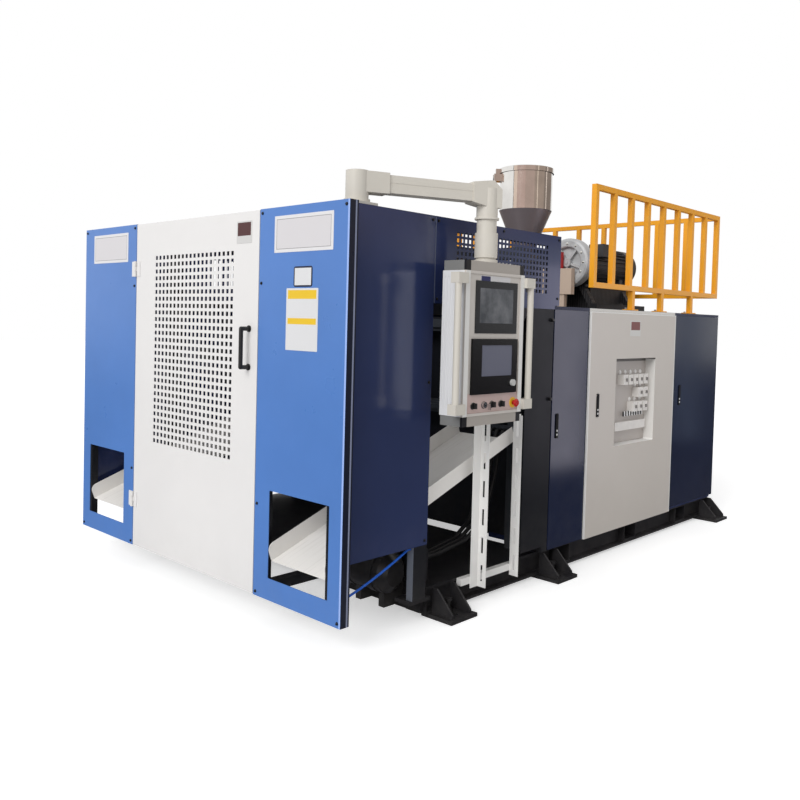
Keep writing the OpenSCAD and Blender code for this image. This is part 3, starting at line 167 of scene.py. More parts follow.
upright_card("dull_card", (2.6, 3.95), (2.6, 4.60), (0.25, 2.1), (0.34, 0.40, 0.52))


# Welded base and its feet: thick plate under near-black enamel, dusty close to the floor.
# The film of paint, the grain under it and the dust are groups that every painted piece shares.
def shader_group(name, inputs, outputs):
    group = bpy.data.node_groups.new(name, "ShaderNodeTree")
    for label, kind, value in inputs:
        socket = group.interface.new_socket(label, in_out="INPUT", socket_type=kind)
        if value is not None:
            socket.default_value = value
    for label, kind in outputs:
        group.interface.new_socket(label, in_out="OUTPUT", socket_type=kind)
    return group, group.nodes.new("NodeGroupInput"), group.nodes.new("NodeGroupOutput")


def noise(tree, vector, scale, detail=2.0, roughness=0.5):
    node = tree.nodes.new("ShaderNodeTexNoise")
    node.inputs["Scale"].default_value = scale
    node.inputs["Detail"].default_value = detail
    node.inputs["Roughness"].default_value = roughness
    tree.links.new(vector, node.inputs["Vector"])
    return node.outputs["Fac"]


def feed(tree, value, socket):
    if isinstance(value, (int, float)):
        socket.default_value = value
    elif isinstance(value, tuple):
        socket.default_value = (*value, 1) if len(socket.default_value) == 4 else value
    else:
        tree.links.new(value, socket)


def spread(tree, value, low, high, to_low, to_high):
    node = tree.nodes.new("ShaderNodeMapRange")
    for label, given_value in (("Value", value), ("From Min", low), ("From Max", high),
                               ("To Min", to_low), ("To Max", to_high)):
        feed(tree, given_value, node.inputs[label])
    return node.outputs["Result"]


def arithmetic(tree, operation, first, second):
    node = tree.nodes.new("ShaderNodeMath")
    node.operation = operation
    feed(tree, first, node.inputs[0])
    feed(tree, second, node.inputs[1])
    return node.outputs[0]


def colour_mix(tree, factor, first, second, blend="MIX"):
    node = tree.nodes.new("ShaderNodeMix")
    node.data_type = "RGBA"
    node.blend_type = blend
    for index, value in ((0, factor), (6, first), (7, second)):
        feed(tree, value, node.inputs[index])
    return node.outputs[2]


def grey(tree, value):
    node = tree.nodes.new("ShaderNodeCombineColor")
    for channel in ("Red", "Green", "Blue"):
        tree.links.new(value, node.inputs[channel])
    return node.outputs["Color"]


def axes(tree, vector):
    node = tree.nodes.new("ShaderNodeSeparateXYZ")
    tree.links.new(vector, node.inputs[0])
    return node.outputs


enamel_film, given, result = shader_group(
    "enamel_film",
    [("Vector", "NodeSocketVector", None), ("Colour", "NodeSocketColor", (0.5, 0.5, 0.5, 1)),
     ("Roughness", "NodeSocketFloat", 0.35), ("Shade", "NodeSocketFloat", 0.08)],
    [("Colour", "NodeSocketColor"), ("Roughness", "NodeSocketFloat"), ("Height", "NodeSocketFloat")])
cloud = noise(enamel_film, given.outputs["Vector"], 1.3, 4.0, 0.6)
darker = arithmetic(enamel_film, "SUBTRACT", 1.0, given.outputs["Shade"])
lighter = arithmetic(enamel_film, "ADD", 1.0, given.outputs["Shade"])
tone = grey(enamel_film, spread(enamel_film, cloud, 0.3, 0.7, darker, lighter))
enamel_film.links.new(colour_mix(enamel_film, 1.0, given.outputs["Colour"], tone, "MULTIPLY"),
                      result.inputs["Colour"])
rub = spread(enamel_film, noise(enamel_film, given.outputs["Vector"], 5.0, 4.0, 0.6), 0.3, 0.75, 0.9, 1.15)
enamel_film.links.new(arithmetic(enamel_film, "MULTIPLY", rub, given.outputs["Roughness"]),
                      result.inputs["Roughness"])
enamel_film.links.new(noise(enamel_film, given.outputs["Vector"], 140.0, 1.0), result.inputs["Height"])

floor_dust, given, result = shader_group(
    "floor_dust",
    [("Vector", "NodeSocketVector", None), ("Colour", "NodeSocketColor", (0.5, 0.5, 0.5, 1)),
     ("Dust", "NodeSocketColor", (0.33, 0.30, 0.27, 1)), ("Reach", "NodeSocketFloat", 0.5),
     ("Amount", "NodeSocketFloat", 0.3)],
    [("Colour", "NodeSocketColor")])
low_down = spread(floor_dust, arithmetic(floor_dust, "DIVIDE", axes(floor_dust, given.outputs["Vector"])["Z"],
                                         given.outputs["Reach"]), 0.0, 1.0, 1.0, 0.0)
patches = spread(floor_dust, noise(floor_dust, given.outputs["Vector"], 9.0, 6.0, 0.7), 0.35, 0.7, 0.25, 1.0)
mask = arithmetic(floor_dust, "MULTIPLY", arithmetic(floor_dust, "MULTIPLY", low_down, patches),
                  given.outputs["Amount"])
floor_dust.links.new(colour_mix(floor_dust, mask, given.outputs["Colour"], given.outputs["Dust"]),
                     result.inputs["Colour"])


def place_group(tree, group, **values):
    node = tree.nodes.new("ShaderNodeGroup")
    node.node_tree = group
    for label, value in values.items():
        feed(tree, value, node.inputs[label])
    return node


def object_place(tree):
    return tree.nodes.new("ShaderNodeTexCoord").outputs["Object"]


def bump_normal(tree, shader, height, strength, distance):
    node = tree.nodes.new("ShaderNodeBump")
    node.inputs["Strength"].default_value = strength
    node.inputs["Distance"].default_value = distance
    tree.links.new(height, node.inputs["Height"])
    tree.links.new(node.outputs["Normal"], shader.inputs["Normal"])


def enamel(name, colour, roughness=0.34, shade=0.07, specular=0.4, dust=0.0, reach=0.6, peel=0.06,
           overlay=None):
    """Stoved enamel on sheet or plate. overlay may repaint parts of it by place."""
    material, tree, shader = node_material(name)
    where = object_place(tree)
    film = place_group(tree, enamel_film, Vector=where, Colour=colour, Roughness=roughness, Shade=shade)
    paint = film.outputs["Colour"]
    if overlay:
        paint = overlay(tree, where, paint)
    if dust:
        layer = place_group(tree, floor_dust, Vector=where, Colour=paint, Reach=reach, Amount=dust)
        paint = layer.outputs["Colour"]
    tree.links.new(paint, shader.inputs["Base Color"])
    tree.links.new(film.outputs["Roughness"], shader.inputs["Roughness"])
    bump_normal(tree, shader, film.outputs["Height"], peel, 0.0006)
    shader.inputs["Specular IOR Level"].default_value = specular
    return material


def paint_nodes(material, *names):
    for name in names:
        nodes[name].data.materials.clear()
        nodes[name].data.materials.append(material)


black_enamel = enamel("black_enamel", (0.012, 0.012, 0.015), 0.42, 0.15, 0.2, dust=0.12, reach=0.3)
paint_nodes(black_enamel, "base_frame", "levelling_feet")


# Deck over the cabinet: chequer plate in the same black, its raised lozenges rubbed grey, with the saddle and
# the blower's trestle welded on. Its edge is painted with the doors below; box_mask picks out such places.
box_mask, given, result = shader_group(
    "box_mask",
    [("Vector", "NodeSocketVector", None), ("Low", "NodeSocketVector", (0, 0, 0)),
     ("High", "NodeSocketVector", (1, 1, 1))],
    [("Mask", "NodeSocketFloat")])
point, low, high = (axes(box_mask, given.outputs[label]) for label in ("Vector", "Low", "High"))
inside = None
for axis in ("X", "Y", "Z"):
    between = arithmetic(box_mask, "MULTIPLY", arithmetic(box_mask, "GREATER_THAN", point[axis], low[axis]),
                         arithmetic(box_mask, "LESS_THAN", point[axis], high[axis]))
    inside = between if inside is None else arithmetic(box_mask, "MULTIPLY", inside, between)
box_mask.links.new(inside, result.inputs["Mask"])


def repaint(tree, where, paint, low, high, colour):
    mask = place_group(tree, box_mask, Vector=where, Low=low, High=high).outputs["Mask"]
    return colour_mix(tree, mask, paint, colour)


chequer_plate, given, result = shader_group(
    "chequer_plate", [("Vector", "NodeSocketVector", None), ("Pitch", "NodeSocketFloat", 0.03)],
    [("Height", "NodeSocketFloat")])
place = axes(chequer_plate, given.outputs["Vector"])
ridges = None
for sign in ("ADD", "SUBTRACT"):
    slant = arithmetic(chequer_plate, sign, place["X"], place["Y"])
    turns = arithmetic(chequer_plate, "DIVIDE", slant, given.outputs["Pitch"])
    wave = arithmetic(chequer_plate, "SINE", arithmetic(chequer_plate, "MULTIPLY", turns, 2 * math.pi), 0.0)
    ridges = wave if ridges is None else arithmetic(chequer_plate, "MULTIPLY", ridges, wave)
chequer_plate.links.new(spread(chequer_plate, ridges, 0.35, 0.6, 0.0, 1.0), result.inputs["Height"])
deck_material, tree, shader = node_material("chequered_deck")
where = object_place(tree)
lozenges = place_group(tree, chequer_plate, Vector=where, Pitch=0.042).outputs["Height"]
film = place_group(tree, enamel_film, Vector=where, Colour=(0.012, 0.012, 0.014), Roughness=0.45, Shade=0.2)
rubbed = arithmetic(tree, "MULTIPLY", lozenges, 0.6)
paint = colour_mix(tree, rubbed, film.outputs["Colour"], (0.05, 0.05, 0.052))
paint = repaint(tree, where, paint, (1.195, -1.0, 1.6), (1.3, 2.0, 1.674), (0.030, 0.036, 0.075))
paint = repaint(tree, where, paint, (1.195, -0.296, 1.6), (1.3, 0.938, 1.674), (0.74, 0.72, 0.69))
tree.links.new(paint, shader.inputs["Base Color"])
tree.links.new(film.outputs["Roughness"], shader.inputs["Roughness"])
bump_normal(tree, shader, lozenges, 0.5, 0.002)
shader.inputs["Specular IOR Level"].default_value = 0.25
paint_nodes(deck_material, "platform_deck")


# Guard frame: square tube welded under the panels, near-black. The seat of the swing arm on its top
# corner is painted with the arm, and the column's bare foot below the panel is grey primer.
arm_colour = (0.66, 0.625, 0.56)


def arm_seat(tree, where, paint):
    paint = repaint(tree, where, paint, (1.15, -1.9315, 0.1), (1.205, -1.9285, 0.412), (0.13, 0.145, 0.18))
    return repaint(tree, where, paint, (0.9, -2.5, 2.0985), (1.3, -2.1, 2.2), arm_colour)


frame_enamel = enamel("frame_enamel", (0.010, 0.011, 0.015), 0.4, 0.12, 0.2, dust=0.12, reach=0.5,
                      overlay=arm_seat)
paint_nodes(frame_enamel, "guard_frame")


# Guard panels: folded sheet, mid-blue beside the front door and navy along the sides. A painted highlight
# runs along the fold's outer edge, its return is painted near-black as painted shade, and a paler
# painted glint lies across the return's rear end.
def fold_painted_light(tree, where, paint):
    for low_x, high_x in ((1.2693, 1.28), (-1.28, -1.2693)):
        paint = repaint(tree, where, paint, (low_x, -2.4895, 0), (high_x, -2.4, 2.2), (0.010, 0.013, 0.030))
        paint = repaint(tree, where, paint, (low_x, -2.4545, 0), (high_x, -2.445, 2.2), (0.25, 0.28, 0.40))
    return repaint(tree, where, paint, (1.2585, -2.4995, 0), (1.2695, -2.4895, 2.2), (0.34, 0.48, 0.86))


blue_enamel = enamel("blue_enamel", (0.083, 0.208, 0.545), 0.30, 0.06, 0.42, dust=0.1, reach=0.5,
                     overlay=fold_painted_light)
paint_nodes(blue_enamel, "front_panel_left", "front_panel_right")


# Painted glints along the side panel's front edge and the upper panel's front edge, with a strip of painted
# shade just behind the first.
def edge_glints_and_shade(tree, where, paint):
    paint = repaint(tree, where, paint, (1.2, -2.4345, 0), (1.21, -2.4255, 2.2), (0.30, 0.31, 0.40))
    paint = repaint(tree, where, paint, (1.2, -1.8295, 1.65), (1.21, -1.8235, 2.2), (0.11, 0.13, 0.20))
    return repaint(tree, where, paint, (1.2, -2.4255, 0), (1.21, -2.4105, 2.2), (0.006, 0.007, 0.018))


navy_enamel = enamel("navy_enamel", (0.022, 0.034, 0.108), 0.14, 0.10, 0.32, dust=0.1, reach=0.6, peel=0.02,
                     overlay=edge_glints_and_shade)
paint_nodes(navy_enamel, "left_side_cover", "upper_panel_right", "cabinet_shell")
glossy_navy = enamel("glossy_navy", (0.024, 0.038, 0.116), 0.17, 0.10, 0.9, dust=0.1, reach=0.6, peel=0.01,
                     overlay=edge_glints_and_shade)
paint_nodes(glossy_navy, "side_panel_right")


# Panel screws: black button heads over washers, along the panels' edges. One tree of nodes sets a
# head on each given point, turned to face the way that the panel faces.
def nodes_tree(name, inputs):
    tree = bpy.data.node_groups.new(name, "GeometryNodeTree")
    tree.interface.new_socket("Geometry", in_out="OUTPUT", socket_type="NodeSocketGeometry")
    tree.interface.new_socket("Geometry", in_out="INPUT", socket_type="NodeSocketGeometry")
    for label, kind in inputs:
        tree.interface.new_socket(label, in_out="INPUT", socket_type=kind)
    return tree, tree.nodes.new("NodeGroupInput"), tree.nodes.new("NodeGroupOutput")


fastener_heads, given, result = nodes_tree(
    "fastener_heads",
    [("Sides", "NodeSocketInt"), ("Head Radius", "NodeSocketFloat"), ("Head Height", "NodeSocketFloat"),
     ("Washer Radius", "NodeSocketFloat"), ("Washer Height", "NodeSocketFloat"),
     ("Turn", "NodeSocketVector"), ("Finish", "NodeSocketMaterial")])
gn = fastener_heads
washer = gn.nodes.new("GeometryNodeMeshCylinder")
washer.inputs["Vertices"].default_value = 20
gn.links.new(given.outputs["Washer Radius"], washer.inputs["Radius"])
gn.links.new(given.outputs["Washer Height"], washer.inputs["Depth"])
head = gn.nodes.new("GeometryNodeMeshCylinder")
gn.links.new(given.outputs["Sides"], head.inputs["Vertices"])
gn.links.new(given.outputs["Head Radius"], head.inputs["Radius"])
gn.links.new(given.outputs["Head Height"], head.inputs["Depth"])
crown = gn.nodes.new("GeometryNodeMeshCone")
gn.links.new(given.outputs["Sides"], crown.inputs["Vertices"])
gn.links.new(given.outputs["Head Radius"], crown.inputs["Radius Bottom"])
gn.links.new(arithmetic(gn, "MULTIPLY", given.outputs["Head Radius"], 0.72), crown.inputs["Radius Top"])
gn.links.new(arithmetic(gn, "MULTIPLY", given.outputs["Head Height"], 0.35), crown.inputs["Depth"])


def lifted(tree, geometry, height):
    place = tree.nodes.new("ShaderNodeCombineXYZ")
    feed(tree, height, place.inputs["Z"])
    move = tree.nodes.new("GeometryNodeTransform")
    tree.links.new(geometry, move.inputs["Geometry"])
    tree.links.new(place.outputs[0], move.inputs["Translation"])
    return move.outputs["Geometry"]


washer_top = given.outputs["Washer Height"]
head_middle = arithmetic(gn, "ADD", washer_top, arithmetic(gn, "MULTIPLY", given.outputs["Head Height"], 0.5))
head_top = arithmetic(gn, "ADD", washer_top, given.outputs["Head Height"])
stack = gn.nodes.new("GeometryNodeJoinGeometry")
for layer in (lifted(gn, crown.outputs["Mesh"], head_top), lifted(gn, head.outputs["Mesh"], head_middle),
              lifted(gn, washer.outputs["Mesh"], arithmetic(gn, "MULTIPLY", washer_top, 0.5))):
    gn.links.new(layer, stack.inputs["Geometry"])
turn = gn.nodes.new("FunctionNodeEulerToRotation")
gn.links.new(given.outputs["Turn"], turn.inputs["Euler"])
scatter = gn.nodes.new("GeometryNodeInstanceOnPoints")
gn.links.new(given.outputs["Geometry"], scatter.inputs["Points"])
gn.links.new(stack.outputs["Geometry"], scatter.inputs["Instance"])
gn.links.new(turn.outputs["Rotation"], scatter.inputs["Rotation"])


def finish_tree(tree, instances, given, result):
    real = tree.nodes.new("GeometryNodeRealizeInstances")
    tree.links.new(instances, real.inputs["Geometry"])
    coat = tree.nodes.new("GeometryNodeSetMaterial")
    tree.links.new(real.outputs["Geometry"], coat.inputs["Geometry"])
    tree.links.new(given.outputs["Finish"], coat.inputs["Material"])
    tree.links.new(coat.outputs["Geometry"], result.inputs["Geometry"])


finish_tree(gn, scatter.outputs["Instances"], given, result)


def piece_from(name, mesh, body):
    piece = bpy.data.objects.new(name, mesh)
    scene.collection.objects.link(piece)
    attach(piece, body)
    return piece


def grown(name, points, tree, values, body):
    """Runs a tree of nodes on points and keeps its result as a plain mesh."""
    mesh = bpy.data.meshes.new(name)
    mesh.from_pydata(points, [], [])
    seed = bpy.data.objects.new(name + "_points", mesh)
    scene.collection.objects.link(seed)
    modifier = seed.modifiers.new("grow", "NODES")
    modifier.node_group = tree
    for item in tree.interface.items_tree:
        if item.in_out == "INPUT" and item.name in values:
            modifier[item.identifier] = values[item.name]
    bpy.context.view_layer.update()
    made = bpy.data.meshes.new_from_object(seed.evaluated_get(bpy.context.evaluated_depsgraph_get()))
    made.name = name
    seed.modifiers.clear()
    bpy.data.objects.remove(seed)
    return piece_from(name, made, body)


facing_front = (math.pi / 2, 0.0, 0.0)
facing_right = (0.0, math.pi / 2, 0.0)
facing_left = (0.0, -math.pi / 2, 0.0)
facing_up = (0.0, 0.0, 0.0)


def fasteners(name, points, turn, finish, body, head=0.006, height=0.004, washer=0.008, sides=16):
    values = {"Sides": sides, "Head Radius": head, "Head Height": height, "Washer Radius": washer,
              "Washer Height": 0.0015, "Turn": turn, "Finish": finish}
    return grown(name, points, fastener_heads, values, body)


def moulded(name, colour, roughness=0.45, grain=600.0, strength=0.12, specular=0.45, overlay=None):
    """Moulded plastic or blackened steel with a fine grain."""
    material, tree, shader = node_material(name)
    where = object_place(tree)
    grain_height = noise(tree, where, grain, 2.0)
    blotch = spread(tree, noise(tree, where, 14.0, 3.0), 0.3, 0.7, 0.0, 1.0)
    paler = tuple(min(1.0, c * 1.05) for c in colour)
    paint = colour_mix(tree, blotch, tuple(c * 0.95 for c in colour), paler)
    if overlay:
        paint = overlay(tree, where, paint)
    tree.links.new(paint, shader.inputs["Base Color"])
    tree.links.new(spread(tree, grain_height, 0.3, 0.7, roughness - 0.05, roughness + 0.07),
                   shader.inputs["Roughness"])
    bump_normal(tree, shader, grain_height, strength, 0.0004)
    shader.inputs["Specular IOR Level"].default_value = specular
    return material


black_steel = moulded("blackened_steel", (0.010, 0.010, 0.011), 0.35)
panel_face = -2.490
front_points = [(x, panel_face, z) for x in (-0.632, 0.632) for z in (0.172, 0.62, 1.73, 2.078)]
front_points += [(x, panel_face, z) for x in (-1.249, 1.249) for z in (0.172, 2.078)]
fasteners("front_panel_screws", front_points, facing_front, black_steel, "machine")
fasteners("side_panel_screws",
          [(1.203, y, z) for y, z in ((-2.398, 2.077), (-2.398, 1.25), (-2.398, 0.434), (-1.852, 2.077),
                                      (-1.852, 1.25), (-1.852, 0.434), (-1.808, 2.077), (-1.808, 1.678),
                                      (-0.684, 2.077), (-0.684, 1.72), (-1.25, 2.077), (-1.25, 1.678))],
          facing_right, black_steel, "machine")
fasteners("left_cover_screws", [(-1.203, y, z) for y in (-2.4, -1.6, -0.74) for z in (2.077, 1.25, 0.434)],
          facing_left, black_steel, "machine")


# Blank plates on the front panels: thin printed-sheet blanks, glued on, each with plain fields of colour
# where the real ones carry print.
def flat_plate(name, across, height, seat, outward, thickness, corner, material, body):
    """A thin rounded plate that faces "front" (-Y) or "side" (+X); across runs along the other level axis."""
    outline = []
    for centre_a, centre_z, start in ((across[1] - corner, height[1] - corner, 0),
                                      (across[0] + corner, height[1] - corner, 90),
                                      (across[0] + corner, height[0] + corner, 180),
                                      (across[1] - corner, height[0] + corner, 270)):
        for step in range(6):
            angle = math.radians(start + step * 18)
            outline.append((centre_a + corner * math.cos(angle), centre_z + corner * math.sin(angle)))
    middle = ((across[0] + across[1]) / 2, (height[0] + height[1]) / 2)
    edge = 0.35 * thickness
    layers = ((0.0, 0.0), (thickness - edge, 0.0), (thickness, edge))
    mesh = bmesh.new()
    rings = []
    for out, inset in layers:
        ring = []
        for a, z in outline:
            a += inset if a < middle[0] else -inset
            z += inset if z < middle[1] else -inset
            ring.append(mesh.verts.new((a, seat - out, z) if outward == "front" else (seat + out, a, z)))
        rings.append(ring)
    count = len(outline)
    for lower, upper in zip(rings, rings[1:]):
        for i in range(count):
            mesh.faces.new((lower[i], lower[(i + 1) % count], upper[(i + 1) % count], upper[i]))
    mesh.faces.new(rings[0])
    mesh.faces.new(rings[-1])
    bmesh.ops.recalc_face_normals(mesh, faces=mesh.faces)
    data = bpy.data.meshes.new(name)
    mesh.to_mesh(data)
    mesh.free()
    data.materials.append(material)
    return piece_from(name, data, body)


def fields(*boxes):
    def overlay(tree, where, paint):
        for low, high, colour in boxes:
            paint = repaint(tree, where, paint, low, high, colour)
        return paint
    return overlay


plate_white = (0.74, 0.73, 0.74)


def framed_fields(across, height):
    """A thin grey line inside the plate's edge, with a paler field inside it."""
    boxes = []
    for inset, colour in ((0.016, (0.30, 0.29, 0.30)), (0.019, (0.66, 0.64, 0.655))):
        low, high = (across[0] + inset, -3, height[0] + inset), (across[1] - inset, -2, height[1] - inset)
        boxes.append((low, high, colour))
    return fields(*boxes)


framed_height = (1.877, 2.056)
for side, across in (("left", (-1.155, -0.714)), ("right", (0.732, 1.165))):
    blank = enamel("framed_blank_" + side, plate_white, 0.4, 0.02,
                   overlay=framed_fields(across, framed_height))
    flat_plate("framed_plate_" + side, across, framed_height, panel_face, "front", 0.0015, 0.004, blank,
               "machine")
small_blank = enamel("small_blank", (0.008, 0.010, 0.035), 0.4, 0.02,
                     overlay=fields(((0.894, -3, 1.717), (1.015, -2, 1.799), (0.70, 0.70, 0.71))))
flat_plate("small_plate", (0.886, 1.023), (1.709, 1.807), panel_face, "front", 0.0015, 0.012, small_blank,
           "machine")
band_yellow = (0.80, 0.52, 0.02)
banded_blank = enamel("banded_blank", (0.70, 0.70, 0.71), 0.4, 0.02,
                      overlay=fields(((0.846, -3, 1.652), (1.056, -2, 1.694), band_yellow),
                                     ((0.846, -3, 1.531), (1.056, -2, 1.560), band_yellow)))
flat_plate("banded_plate", (0.834, 1.068), (1.405, 1.703), panel_face, "front", 0.0015, 0.004, banded_blank,
           "machine")


# Front door: white folded sheet with a field of square holes, on two white hinges, with a black moulded
# pull handle and a plain blank plate at its top corner. The slotted stand by the pendant is white too.
white_enamel = enamel("white_enamel", (0.77, 0.755, 0.745), 0.33, 0.025, dust=0.1, reach=0.5)
paint_nodes(white_enamel, "front_door", "door_hinges")
paint_nodes(enamel("stand_enamel", (0.88, 0.87, 0.85), 0.4, 0.03, dust=0.1, reach=0.5), "slotted_stand")
black_plastic = moulded("black_plastic", (0.012, 0.012, 0.013))
paint_nodes(black_plastic, "door_handle")
door_blank = enamel("door_blank", (0.62, 0.61, 0.60), 0.4, 0.02,
                    overlay=fields(((0.424, -3, 1.975), (0.537, -2, 2.043), (0.075, 0.020, 0.020))))
flat_plate("door_plate", (0.415, 0.546), (1.936, 2.05), panel_face, "front", 0.0015, 0.005, door_blank,
           "front_door")
fasteners("handle_screws", [(0.537, -2.5395, 1.318), (0.537, -2.5395, 1.486)], facing_front, black_steel,
          "front_door", 0.004, 0.0015, 0.0045)


# Chutes: bent off-white sheet on which the bottles slide out, rubbed along the middle. Each is bolted
# behind its opening in the front panel and slopes up into the bay.
def slide_marks(tree, where, paint):
    place = axes(tree, where)
    lanes = tree.nodes.new("ShaderNodeCombineXYZ")
    tree.links.new(arithmetic(tree, "MULTIPLY", place["X"], 40.0), lanes.inputs["X"])
    tree.links.new(place["Y"], lanes.inputs["Y"])
    streaks = spread(tree, noise(tree, lanes.outputs[0], 1.6, 4.0, 0.7), 0.52, 0.72, 0.0, 0.35)
    return colour_mix(tree, streaks, paint, (0.56, 0.53, 0.48))


paint_nodes(enamel("chute_enamel", (0.90, 0.875, 0.84), 0.36, 0.05, overlay=slide_marks),
            "chute_left", "chute_right")


# Clamp, shuttle and moulds: painted beams, ground tie bars and platens, machined mould blocks.
# A machined surface has fine parallel tool marks.
tool_marks, given, result = shader_group(
    "tool_marks",
    [("Vector", "NodeSocketVector", None), ("Colour", "NodeSocketColor", (0.5, 0.5, 0.5, 1)),
     ("Roughness", "NodeSocketFloat", 0.3), ("Stretch", "NodeSocketVector", (1.0, 60.0, 60.0))],
    [("Colour", "NodeSocketColor"), ("Roughness", "NodeSocketFloat"), ("Height", "NodeSocketFloat")])
along = tool_marks.nodes.new("ShaderNodeVectorMath")
along.operation = "MULTIPLY"
tool_marks.links.new(given.outputs["Vector"], along.inputs[0])
tool_marks.links.new(given.outputs["Stretch"], along.inputs[1])
lines = noise(tool_marks, along.outputs[0], 6.0, 3.0, 0.6)
stain = spread(tool_marks, noise(tool_marks, given.outputs["Vector"], 5.0, 4.0), 0.3, 0.75, 1.06, 0.78)
stained = colour_mix(tool_marks, 1.0, given.outputs["Colour"], grey(tool_marks, stain), "MULTIPLY")
tool_marks.links.new(stained, result.inputs["Colour"])
tool_marks.links.new(arithmetic(tool_marks, "MULTIPLY", spread(tool_marks, lines, 0.3, 0.7, 0.75, 1.3),
                                given.outputs["Roughness"]), result.inputs["Roughness"])
tool_marks.links.new(lines, result.inputs["Height"])


def bare_metal(name, colour, roughness=0.32, stretch=(1.0, 60.0, 60.0), strength=0.1, dull=None):
    """Metal with tool marks. dull is a box (low, high, colour) inside which it is painted in that darker
    colour as a painted reflection, and is rougher and less metallic.
    """
    material, tree, shader = node_material(name)
    where = object_place(tree)
    marks = place_group(tree, tool_marks, Vector=where, Colour=colour, Roughness=roughness, Stretch=stretch)
    tone, sheen = marks.outputs["Colour"], marks.outputs["Roughness"]
    shader.inputs["Metallic"].default_value = 1.0
    if dull:
        mask = place_group(tree, box_mask, Vector=where, Low=dull[0], High=dull[1]).outputs["Mask"]
        tone = colour_mix(tree, mask, tone, dull[2])
        sheen = arithmetic(tree, "ADD", sheen, arithmetic(tree, "MULTIPLY", mask, 0.3))
        tree.links.new(spread(tree, mask, 0.0, 1.0, 1.0, 0.25), shader.inputs["Metallic"])
    tree.links.new(tone, shader.inputs["Base Color"])
    tree.links.new(sheen, shader.inputs["Roughness"])
    bump_normal(tree, shader, marks.outputs["Height"], strength, 0.0003)
    return material


grey_enamel = enamel("grey_enamel", (0.030, 0.034, 0.042), 0.42, 0.12, dust=0.15)
paint_nodes(grey_enamel, "clamp_frame", "carriage_left", "carriage_right", "gear_motor", "hydraulic_unit")
machined_steel = bare_metal("machined_steel", (0.42, 0.43, 0.45), 0.36)
paint_nodes(machined_steel, "platen_front_left", "platen_rear_left", "platen_front_right",
            "platen_rear_right", "die_head", "extruder_barrel", "extruder_screw", "feed_throat")
hard_chrome = bare_metal("hard_chrome", (0.72, 0.73, 0.74), 0.12, (60.0, 60.0, 1.0), 0.04)
paint_nodes(hard_chrome, "blow_pin_left", "blow_pin_right", "key_switch")


# Hopper and lid: rolled stainless sheet, polished almost to a mirror, with fine upright rolling lines.
# The cone below the straight wall is painted dark as a painted reflection of the dark deck and guard below
# it, and has little shine.
straight_wall = 0.335
wall_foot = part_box("hopper")[1][2] - straight_wall
cone_painted_dark = ((-1, -1, 0), (1, 2, wall_foot), (0.20, 0.17, 0.18))
stainless = bare_metal("polished_stainless", (0.80, 0.78, 0.75), 0.08, (50.0, 50.0, 0.6), 0.04, cone_painted_dark)
paint_nodes(stainless, "hopper", "hopper_lid")


# Railing: square tube welded and painted safety yellow, worn pale where hands hold it. Each leg stands
# on a foot plate with two zinc-plated bolts into the deck.
def hand_wear(tree, where, paint):
    rubbed = spread(tree, noise(tree, where, 11.0, 5.0, 0.65), 0.58, 0.72, 0.0, 0.35)
    return colour_mix(tree, rubbed, paint, (0.80, 0.50, 0.12))


paint_nodes(enamel("yellow_enamel", (0.93, 0.40, 0.018), 0.34, 0.05, overlay=hand_wear), "railing")
zinc_bolt = bare_metal("zinc_bolt", (0.62, 0.62, 0.60), 0.35, (30.0, 30.0, 30.0), 0.05)
railing_low, railing_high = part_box("railing")
half_tube = 0.018
leg_x, foot_top, bolt_shift = 1.146, 1.683, 0.032
leg_run = railing_high[1] - railing_low[1] - 2 * half_tube
leg_rows = [railing_low[1] + half_tube + leg_run * share for share in (0.274, 0.5025, 0.7614)]
railing_feet = [(side * leg_x, y + shift, foot_top) for side in (-1, 1) for y in leg_rows
                for shift in (-bolt_shift, bolt_shift)]
fasteners("railing_bolts", railing_feet, facing_up, zinc_bolt, "machine",
          0.009, 0.007, 0.012, 6)


# Cabinet: navy doors either side of a warm white one, folded from sheet over a navy shell, with black swing
# locks. Two bright cams show at the lower end of each lock. Louvres and screws finish the unseen sides.
cabinet_navy = enamel("cabinet_navy", (0.010, 0.016, 0.046), 0.17, 0.10, 0.32, dust=0.06, reach=0.7,
                      peel=0.02)
paint_nodes(cabinet_navy, "cabinet_door_front", "cabinet_door_rear")
door_low, door_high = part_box("cabinet_door_main")
rim = (0.86, 0.85, 0.83)
# The white door: a paler rim along its edges, painted light on the window's right and bottom reveals, and
# painted shade on the ceiling of the window's recess.
door_rim_and_painted_light = fields(
    ((1.2, door_low[1] - 0.01, 0.0), (1.3, door_low[1] + 0.009, 2.0), rim),
    ((1.2, door_high[1] - 0.009, 0.0), (1.3, door_high[1] + 0.01, 2.0), rim),
    ((1.2, door_low[1], door_high[2] - 0.006), (1.3, door_high[1], 2.0), rim),
    ((1.0, 0.600, 0.735), (1.2122, 0.640, 1.350), (0.84, 0.82, 0.79)),
    ((1.0, 0.040, 0.735), (1.2122, 0.640, 0.752), (0.95, 0.94, 0.92)),
    ((1.0, 0.040, 1.331), (1.2122, 0.640, 1.350), (0.12, 0.11, 0.11)))
cabinet_white = enamel("cabinet_white", (0.62, 0.575, 0.53), 0.36, 0.025, dust=0.08, reach=0.6,
                       overlay=door_rim_and_painted_light)
paint_nodes(cabinet_white, "cabinet_door_main")
paint_nodes(moulded("lock_black", (0.009, 0.009, 0.010), 0.5, specular=0.1), "lock_front", "lock_main",
            "lock_rear")
lock_cam = moulded("lock_cam", (0.80, 0.80, 0.79), 0.3)
